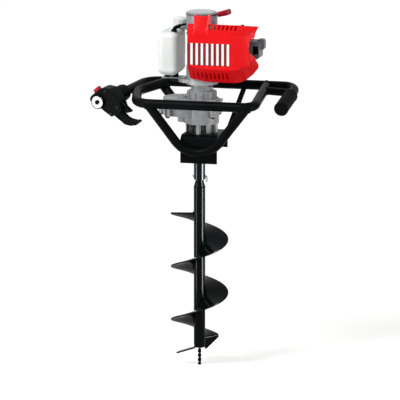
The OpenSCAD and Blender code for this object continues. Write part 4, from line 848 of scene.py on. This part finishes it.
@dataclass
class ThrottleHandle(SubAssembly):
    """The throttle head on the left bar, with its fittings placed on the head's own face."""

    bar_x: float = -172.0
    bar_tilt: float = 5.0
    bar_flare: float = -14.5
    head_out: float = -198.0
    button_at: Numbers = (-27.7, -7.6)
    button_top: float = 27.65
    cover_top: float = 20.05
    sleeve_radius: float = 21.0
    screws: Sequence[Numbers] = ((-8.0, 22.0), (27.0, -18.0), (8.0, -36.0))
    screw_size: Numbers = (3.6, 2.0)

    def build(self) -> None:
        """Dresses the head and its levers and builds the small fittings."""
        self.soften("throttle_case", BLACK_NYLON, 1.2)
        self.soften("throttle_cover", BLACK_NYLON, 1.8, 3)
        self.soften("throttle_trigger", BLACK_NYLON, 1.2, body="throttle_trigger")
        self.soften("lockout_lever", BLACK_NYLON, 1.2, body="lockout_lever")
        self.soften("stop_switch", SWITCH_RED, 1.0, body="stop_switch")
        self.soften("lock_button", BUTTON_WHITE, 1.2, 3, body="lock_button")
        self._fittings()

    def _fittings(self) -> None:
        """Builds the button's dark pad and rim, the cover's screws and the sleeve's rings."""
        head = turned(("at", RAIL), ("X", self.bar_tilt), ("at", (self.bar_x, 0, 0)), ("Z", self.bar_flare),
                      ("at", (0, self.head_out, 0)), ("X", 90))
        z = self.button_top
        pad = lathe([(0, z + 0.5), (5.5, z + 0.5), (7.2, z + 0.2), (8, z - 0.6), (0, z - 0.6)], 32)
        oval = Matrix.Diagonal((1.0, 0.82, 1.0, 1.0))
        spot = turned(("at", (*self.button_at, 0)), ("Z", 38))
        self.piece("button_pad", put(pad, head @ spot @ oval), BLACK_RUBBER, body="lock_button")
        rim = lathe([(15.8, z + 0.1), (16.2, z + 0.6), (17.6, z + 0.5), (18.4, z - 0.5), (18.4, z - 3.2),
                     (17.4, z - 3.5), (16.6, z - 3.0), (15.8, z + 0.1)], 56)
        self.piece("button_rim", put(rim, head @ spot), BLACK_RUBBER, body="lock_button")
        screws = [put(screw_head(*self.screw_size), turned(("at", (u, v, self.cover_top))))
                  for u, v in self.screws]
        self.piece("cover_screws", put(joined(*screws), head), DARK_SCREW)
        r = self.sleeve_radius
        rings = [lathe([(r - 0.4, m - 1.4), (r + 0.9, m - 0.6), (r + 0.9, m + 0.6), (r - 0.4, m + 1.4),
                        (r - 0.4, m - 1.4)]) for m in range(-60, -20, 8)]
        self.piece("sleeve_rings", put(joined(*rings), head), BLACK_NYLON)


@dataclass
class Gearbox(SubAssembly):
    """The cast gear case with its shafts, gears, bearings and bolts, and the clutch."""

    engine_x: float = 6.0
    flange_low: float = 740.0
    screw_ring: float = 36.0
    screw_turns: Numbers = (-40.0, 40.0, 140.0, 220.0)
    screw_size: Numbers = (4.2, 4.5)
    # Height range and reach of the lower case's waist, whose recess is painted near black as painted shade
    waist: Numbers = (612.5, 638.5, 34.0)

    def build(self) -> None:
        """Dresses the castings and what is in them, and builds the flange's screws."""
        # The waist's recess takes painted shade.
        self.soften("gearcase_lower", CAST_ALLOY, 0.9, dark=self.waist)
        self.soften("gearcase_upper", CAST_ALLOY, 0.9)
        self.soften("clutch_housing", CAST_ALLOY, 0.9)
        self.dress(TURNED_STEEL, "layshaft", "layshaft_gear", "clutch_drum", "ball_bearings")
        self.dress(DARK_SCREW, "case_bolts")
        self.dress(SHOE_LINING, "clutch_shoes")
        self._flange_screws()

    def _flange_screws(self) -> None:
        """Hangs four screws under the clutch flange."""
        heads = []
        for a in map(math.radians, self.screw_turns):
            x, y = self.engine_x + self.screw_ring * math.cos(a), self.screw_ring * math.sin(a)
            under = turned(("at", (x, y, self.flange_low)), ("X", 180))
            heads.append(put(screw_head(*self.screw_size), under))
        self.piece("flange_screws", joined(*heads), DARK_SCREW)


@dataclass
class Engine(SubAssembly):
    """The engine inside and outside its shroud.

    A point of the band is a height and how far it stands out. A louvre back has its left and right end, then
    the depth and height of its outer and of its inner edge.
    """

    taper_from: float = 104.0
    taper_to: float = 168.0
    front: float = 80.0
    front_end: float = 62.0
    band: Sequence[Numbers] = ((799.0, -0.3), (808.0, 2.0), (868.0, 2.0), (880.0, -0.3))
    band_from: float = 107.0
    band_to: float = 150.0
    band_steps: int = 12
    # Height range and reach of the bars between the slots, which are painted dark red as painted shade
    bars: Numbers = (800.0, 858.0, 122.0)
    back_low: Sequence[Numbers] = ((-8.0, 104.0), (-77.5, 792.0), (-45.5, 754.0))
    back_high: Sequence[Numbers] = ((58.0, 118.0), (-77.0, 891.0), (-59.0, 904.0))
    back_gap: Numbers = (3.2, 2.7)
    lining_at: Numbers = (153.0, -19.2, 835.0)
    lining_size: Numbers = (14.0, 20.0)
    lining_rim: float = 2.5
    lining_dish: float = 0.5

    def build(self) -> None:
        """Dresses the engine's pieces and builds the shroud's trim and the plug cap's lining."""
        # The bars between the slots take painted shade.
        self.soften("engine_shroud", SHROUD_RED, 1.2, dark=self.bars)
        self.soften("plug_cap", CAP_GREY, 2.0, 3)
        self.soften("heat_shield", SHIELD_ALLOY, 0.0)
        self.soften("air_filter_cover", BLACK_NYLON, 3.0, 3)
        self.soften("air_filter_base", BLACK_NYLON, 1.0)
        self.soften("carburettor", CAST_ALLOY, 0.8)
        self.soften("choke_lever", BLACK_NYLON, 0.8, body="choke_lever")
        self.dress(CAST_ALLOY, "crankcase_lower", "crankcase_upper", "cylinder_barrel", "piston")
        self.dress(TURNED_STEEL, "connecting_rod", "engine_pins", "crankshaft")
        self.dress(FLYWHEEL_IRON, "flywheel")
        self.dress(SHEET_STEEL, "muffler")
        self.dress(PLUG_CERAMIC, "spark_plug")
        self.soften("shroud_screws", DARK_SCREW, 0.6)
        self._band()
        self._louvre_backs()
        self._lining()

    def _skin(self, x: float) -> float:
        """Gives how far the shroud's front stands out at a place along the engine."""
        f = max(0.0, (x - self.taper_from) / (self.taper_to - self.taper_from))
        return self.front - (self.front - self.front_end) * f * f

    def _band(self) -> None:
        """Raises a band with sloped edges over the shroud's curved end."""
        bm = bmesh.new()
        step = (self.band_to - self.band_from) / self.band_steps
        spots = [self.band_from + step * k for k in range(self.band_steps + 1)]
        ends = [bm.verts.new(mm(spots[0], -self._skin(spots[0]) - out, z)) for z, out in self.band]
        row = [bm.edges.new(pair) for pair in zip(ends, ends[1:])]
        for before, after in zip(spots, spots[1:]):
            verts, row = grow(bm, row)
            back = self._skin(before) - self._skin(after)
            bmesh.ops.translate(bm, verts=verts, vec=mm(after - before, back, 0))
        thicken(outward(bm), 1.6)
        round_edges(bm, 0.6)
        self.piece("shroud_band", bm, SHROUD_RED)

    def _louvre_backs(self) -> None:
        """Sets a red back a little behind each row of louvres, so that they read as shaded grooves."""
        inward, up = self.back_gap
        for name, row, rise in (("low", self.back_low, up), ("high", self.back_high, -up)):
            (left, right), outer, inner = row
            bm = bmesh.new()
            ends = [bm.verts.new(mm(left, *spot)) for spot in (outer, inner)]
            verts, _ = grow(bm, [bm.edges.new(ends)])
            bmesh.ops.translate(bm, verts=verts, vec=mm(right - left, 0, 0))
            bmesh.ops.translate(bm, verts=bm.verts, vec=mm(0, inward, rise))
            self.piece(f"louvre_back_{name}", thicken(bm, 0.8), SHROUD_RED)

    def _lining(self) -> None:
        """Lines the plug cap's front recess with a dark, dished plate."""
        bm = bmesh.new()
        size = Matrix.Diagonal((*mm(*self.lining_size), 1.0, 1.0))
        stand = turned(("at", self.lining_at), ("X", 90)) @ size
        bmesh.ops.create_grid(bm, x_segments=1, y_segments=1, size=0.5, matrix=stand)
        bmesh.ops.inset_region(bm, faces=bm.faces[:], thickness=self.lining_rim * MM,
                               depth=-self.lining_dish * MM)
        self.piece("plug_cap_lining", thicken(bm, 1.0), BLACK_RUBBER)


@dataclass
class Starter(SubAssembly):
    """The recoil starter with its pull."""

    axis_x: float = 6.0
    radius: float = 41.0
    top: float = 928.0
    pull: Numbers = (46.844, -3.573, 921.5)
    pull_turn: float = -5.0
    pull_lean: float = 74.0
    rope_from: float = -4.0
    rope_to: float = 16.0
    rope_lay: float = 11.0
    strand: float = 0.94
    strand_ring: float = 1.02
    strands: int = 3

    def build(self) -> None:
        """Dresses the drum, the reel and the pull, and builds the lid and the rope."""
        self.soften("starter_housing", STARTER_GREY, 1.5, 3)
        self.soften("starter_handle", PULL_CRIMSON, 2.0, 3, body="starter_handle")
        self.dress(REEL_NYLON, "starter_reel")
        self.dress(TURNED_STEEL, "recoil_spring")
        self._lid()
        self._rope()

    def _lid(self) -> None:
        """Turns the drum's dished lid and the dark joint under it."""
        t, r = self.top, self.radius
        axis = turned(("at", (self.axis_x, 0, 0)))
        lid = lathe([(0, t + 3.6), (9, t + 3.4), (20, t + 2.4), (30, t + 1.2), (35, t + 0.9), (36, t + 0.3),
                     (36, t - 0.5), (0, t - 0.5)], 64)
        # The lid's paler grey is a painted highlight.
        self.piece("starter_lid", put(lid, axis), LID_GREY_PAINTED_HIGHLIGHT)
        joint = lathe([(r - 0.5, t - 6.4), (r + 0.5, t - 6.0), (r + 0.5, t - 4.4), (r - 0.5, t - 4.0),
                       (r - 0.5, t - 6.4)], 64)
        self.piece("starter_joint", put(joint, axis), BLACK_RUBBER)

    def _rope(self) -> None:
        """Lays three strands into the rope, which stretches between the drum and the pull."""
        run = self.rope_to - self.rope_from
        strands = []
        for k in range(self.strands):
            end = wire_end(self.strand_ring, self.rope_from, self.strand)
            strands.append(wind(end, 360.0 * k / self.strands, run / self.rope_lay, run, 48))
        where = turned(("at", self.pull), ("Z", self.pull_turn), ("Y", self.pull_lean))
        rope = put(joined(*strands), where)
        rope = self.piece("pull_rope", rope, ROPE, body=None, stands_for=("starter_rope",))
        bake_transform(rope)


@dataclass
class FuelSystem(SubAssembly):
    """The tank with its cap, mounts and hose."""

    left: float = -103.0
    right: float = -46.0
    low: float = 763.65
    top: float = 878.65
    corner: float = 18.0
    cap_at: Numbers = (-60.0, 32.0)
    cap_radius: float = 18.0
    cap_low: float = 881.0
    cap_high: float = 903.0
    ribs: int = 30
    rib: float = 0.9
    seam: float = 0.8
    grommet_at: Numbers = (-60.0, -30.0)
    elbow_radius: float = 5.0
    hose_radius: float = 3.0
    hose: Sequence[Numbers] = (
        (-53.5, -17.5, 889.45), (-49, -6, 890.45), (-45, 4, 891.05), (-41, 13.5, 891.45), (-36.5, 24, 891.45),
        (-31.5, 37, 889.85), (-27.5, 47, 882.65), (-21, 55, 871), (-10, 61, 860.5), (6, 62, 851),
        (28, 62, 841.5), (46, 62, 835.2), (55.95, 62, 835))

    def build(self) -> None:
        """Dresses the tank and its fittings and builds the trim, the elbow and the hose."""
        self.soften("fuel_tank", TANK_WHITE, 0.0)
        self.soften("fuel_cap", TANK_WHITE, 1.2, 3, body="fuel_cap")
        self.soften("tank_strap", SHEET_STEEL, 0.5)
        self.soften("tank_buffers", BLACK_RUBBER, 0.8)
        self._seam()
        self._cap_ribs()
        self._elbow()
        self._hose()

    def _seam(self) -> None:
        """Runs the moulding seam round the middle of the tank."""
        line = []
        r = self.corner
        for x, z, start in ((self.right - r, self.top - r, 0), (self.left + r, self.top - r, 90),
                            (self.left + r, self.low + r, 180), (self.right - r, self.low + r, 270)):
            for k in range(9):
                a = math.radians(start + 11.25 * k)
                line.append((x + (r - 0.2) * math.cos(a), 0.0, z + (r - 0.2) * math.sin(a)))
        self.piece("tank_seam", sweep(line, self.seam, closed=True), TANK_WHITE)

    def _cap_ribs(self) -> None:
        """Stands finger ribs round the cap."""
        x, y = self.cap_at
        heights = (self.cap_low, (self.cap_low + self.cap_high) / 2, self.cap_high)
        ribs = []
        for k in range(self.ribs):
            a = math.tau * k / self.ribs
            foot = (x + self.cap_radius * math.cos(a), y + self.cap_radius * math.sin(a))
            ribs.append(sweep([(*foot, z) for z in heights], self.rib))
        self.piece("fuel_cap_ribs", joined(*ribs), TANK_WHITE, body="fuel_cap")

    def _elbow(self) -> None:
        """Moulds the rubber elbow that holds the hose in the tank's top."""
        x, y = self.grommet_at
        t = self.top
        foot = lathe([(0, t - 0.3), (8, t - 0.3), (8.4, t + 1.2), (7.4, t + 3.6), (5.6, t + 5.2),
                      (0, t + 5.2)], 32)
        bend = sweep([(x, y, t + 1), (x + 0.1, y + 0.2, t + 4), (x + 0.8, y + 1.5, t + 6.8),
                      (x + 2.4, y + 4.6, t + 8.8), (x + 4.6, y + 8.8, t + 9.9), (x + 7.6, y + 14.8, t + 10.9),
                      (x + 9.6, y + 19.6, t + 11.4)], self.elbow_radius, 20)
        self.piece("hose_elbow", joined(put(foot, turned(("at", (x, y, 0)))), bend), BLACK_RUBBER)

    def _hose(self) -> None:
        """Runs the fuel hose from the elbow behind the engine to the carburettor."""
        curve = bpy.data.curves.new("fuel_line", "CURVE")
        curve.dimensions = "3D"
        curve.resolution_u = 8
        curve.bevel_depth = self.hose_radius * MM
        curve.bevel_resolution = 4
        curve.use_fill_caps = True
        spline = curve.splines.new("BEZIER")
        spline.bezier_points.add(len(self.hose) - 1)
        for point, place in zip(spline.bezier_points, self.hose):
            point.co = mm(*place)
            point.handle_left_type = point.handle_right_type = "AUTO"
        curve.materials.append(BLACK_RUBBER.material())
        thing = add_object("fuel_line", curve)
        bpy.context.view_layer.update()
        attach(thing, self.body)
        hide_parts("fuel_hose")
        self.made.append("fuel_line")


@dataclass
class Studio:
    """The camera, the floor and the light of the picture.

    The fill is the room's light, and the glows are what the floor adds to it near the tip and far away.
    """

    target: Numbers = (1.3, 0.0, 433.0)
    azimuth: float = 14.0
    elevation: float = 10.0
    distance: float = 45000.0
    pixel: float = 2.59
    pixels: int = 400
    sensor: float = 36.0
    floor_half: float = 40000.0
    floor_level: float = -0.6
    fill: float = 0.35
    glow: float = 0.62
    far_glow: float = 0.7
    glow_reach: Numbers = (500.0, 3200.0)
    sun_from: Numbers = (-2200.0, -3000.0, 3600.0)
    sun_width: float = 16.0
    sun_strength: float = 0.7
    lamps_look_at: Numbers = (0.0, 0.0, 600.0)

    def build(self) -> None:
        """Sets up the whole studio."""
        self._camera()
        self._floor()
        self._world()
        self._sun()
        self._lamp("key_box", (-900, -1700, 2500), (700, 700), 31.0)
        self._lamp("left_strip", (-840, -650, 620), (50, 1200), 3.2)
        self._lamp("right_strip", (1050, -310, 620), (50, 1200), 3.2)
        bpy.context.scene.view_settings.view_transform = "Standard"

    def reflections(self) -> None:
        """Stands cards beside the machine that show only as streaks on the bit and a sheen on the shroud."""
        bit = ("bit_stem_shown", "bit_flight_shown", "coupling_sleeve_shown")
        shroud = ("engine_shroud_shown", "shroud_band")
        self._card("bit_left", (-840, -650, 620), (300, 1300), 40.0, *bit)
        self._card("bit_right", (1050, -240, 620), (450, 1300), 170.0, *bit)
        self._card("shroud_left", (-1000, -320, 1100), (400, 1000), 15.0, *shroud)
        self._card("shroud_right", (750, -750, 1100), (400, 1000), 15.0, *shroud)

    def _card(self, name: str, place: Numbers, size: Numbers, watts: float, *pieces: str) -> None:
        """Hangs a lamp that is seen only mirrored in some pieces.

        Args:
            name: name of the card.
            place: where it stands.
            size: its width and height.
            watts: its power.
            pieces: names of the pieces that mirror it.
        """
        mirrors = bpy.data.collections.new(f"{name}_mirrors")
        for piece in pieces:
            mirrors.objects.link(bpy.data.objects[piece])
        card = self._lamp(f"{name}_card", place, size, watts)
        card.visible_diffuse = False
        card.light_linking.receiver_collection = mirrors

    def _camera(self) -> None:
        """Puts a long lens at the photograph's angle."""
        a, e = math.radians(self.azimuth), math.radians(self.elevation)
        back = Vector((math.sin(a) * math.cos(e), -math.cos(a) * math.cos(e), math.sin(e)))
        data = bpy.data.cameras.new("studio_camera")
        data.sensor_width = self.sensor
        data.lens = self.distance * self.sensor / (self.pixel * self.pixels)
        data.clip_end = 300.0
        camera = add_object("studio_camera", data)
        camera.location = mm(*self.target) + back * (self.distance * MM)
        aim(camera, -back)
        bpy.context.scene.camera = camera

    def _seen(self, tree: NodeTree) -> Socket:
        """Adds a value that is one where the eye, a reflection or a clear body looks.

        Args:
            tree: the tree of a material or a world.

        Returns:
            The socket of the value.
        """
        path = add_node(tree, "LightPath")
        seen = add_node(tree, "Math", {"operation": "MAXIMUM"}, {
            0: path.outputs["Is Camera Ray"], 1: path.outputs["Is Glossy Ray"]}).outputs[0]
        return add_node(tree, "Math", {"operation": "MAXIMUM"}, {
            0: seen, 1: path.outputs["Is Transmission Ray"]}).outputs[0]

    def _floor(self) -> None:
        """Lays a wide pale floor under the tip, which looks white to its far end and keeps the shadow."""
        bm = bmesh.new()
        ground = turned(("at", (0, 0, self.floor_level)))
        bmesh.ops.create_grid(bm, x_segments=1, y_segments=1, size=self.floor_half * MM, matrix=ground)
        mesh = to_mesh("studio_floor", bm)
        material = bpy.data.materials.new("pale_studio_floor")
        tree = cleared(material)
        matt = add_node(tree, "BsdfDiffuse", inputs={"Color": linear("#d2d2d0")})
        place = add_node(tree, "TexCoord").outputs["Object"]
        away = add_node(tree, "VectorMath", {"operation": "LENGTH"}, {0: place}).outputs["Value"]
        near, far = mm(*self.glow_reach)
        level = add_node(tree, "MapRange", {"interpolation_type": "SMOOTHSTEP"}, {
            "Value": away, "From Min": near, "From Max": far,
            "To Min": self.glow, "To Max": self.far_glow}).outputs[0]
        strength = add_node(tree, "Math", {"operation": "MULTIPLY"}, {
            0: self._seen(tree), 1: level}).outputs[0]
        light = add_node(tree, "Emission", inputs={"Color": linear("#ffffff"), "Strength": strength})
        both = add_node(tree, "AddShader", inputs={0: matt.outputs[0], 1: light.outputs[0]})
        add_node(tree, "OutputMaterial", inputs={"Surface": both.outputs[0]})
        mesh.materials.append(material)
        floor = add_object("studio_floor", mesh)

    def _world(self) -> None:
        """Makes a pale room: white where it is seen, dimmer where it only lights."""
        world = bpy.data.worlds.new("pale_room")
        bpy.context.scene.world = world
        tree = cleared(world)
        strength = add_node(tree, "MapRange", inputs={
            "Value": self._seen(tree), "To Min": self.fill, "To Max": 1.0}).outputs[0]
        sky = add_node(tree, "Background", inputs={"Color": linear("#ffffff"), "Strength": strength})
        add_node(tree, "OutputWorld", inputs={"Surface": sky.outputs[0]})

    def _sun(self) -> None:
        """Hangs a wide, soft sun, which lights the floor evenly."""
        data = bpy.data.lights.new("soft_sun", "SUN")
        data.angle = math.radians(self.sun_width)
        data.energy = self.sun_strength
        aim(add_object("soft_sun", data), -mm(*self.sun_from))

    def _lamp(self, name: str, place: Numbers, size: Numbers, watts: float) -> Object:
        """Hangs a soft box that looks at the engine.

        Args:
            name: name of the lamp.
            place: where it hangs.
            size: its width and height.
            watts: its power.

        Returns:
            The lamp.
        """
        data = bpy.data.lights.new(name, "AREA")
        data.shape = "RECTANGLE"
        data.size, data.size_y = mm(*size)
        data.energy = watts
        lamp = add_object(name, data)
        lamp.location = mm(*place)
        lamp.visible_camera = False
        aim(lamp, mm(*self.lamps_look_at) - lamp.location)
        return lamp


def main() -> None:
    """Builds the studio and every sub-assembly."""
    logging.basicConfig(level=logging.INFO, format="%(name)s: %(message)s")
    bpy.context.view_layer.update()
    studio = Studio()
    studio.build()
    for group in (FuelSystem(), EarthBit(), CarryFrame(), ThrottleHandle(), Gearbox(), Engine(), Starter()):
        group.build()
        for name in group.made:
            LOG.info("%s: %s", type(group).__name__, name)
    studio.reflections()
    bpy.context.view_layer.update()


if __name__ == "__main__":
    main()
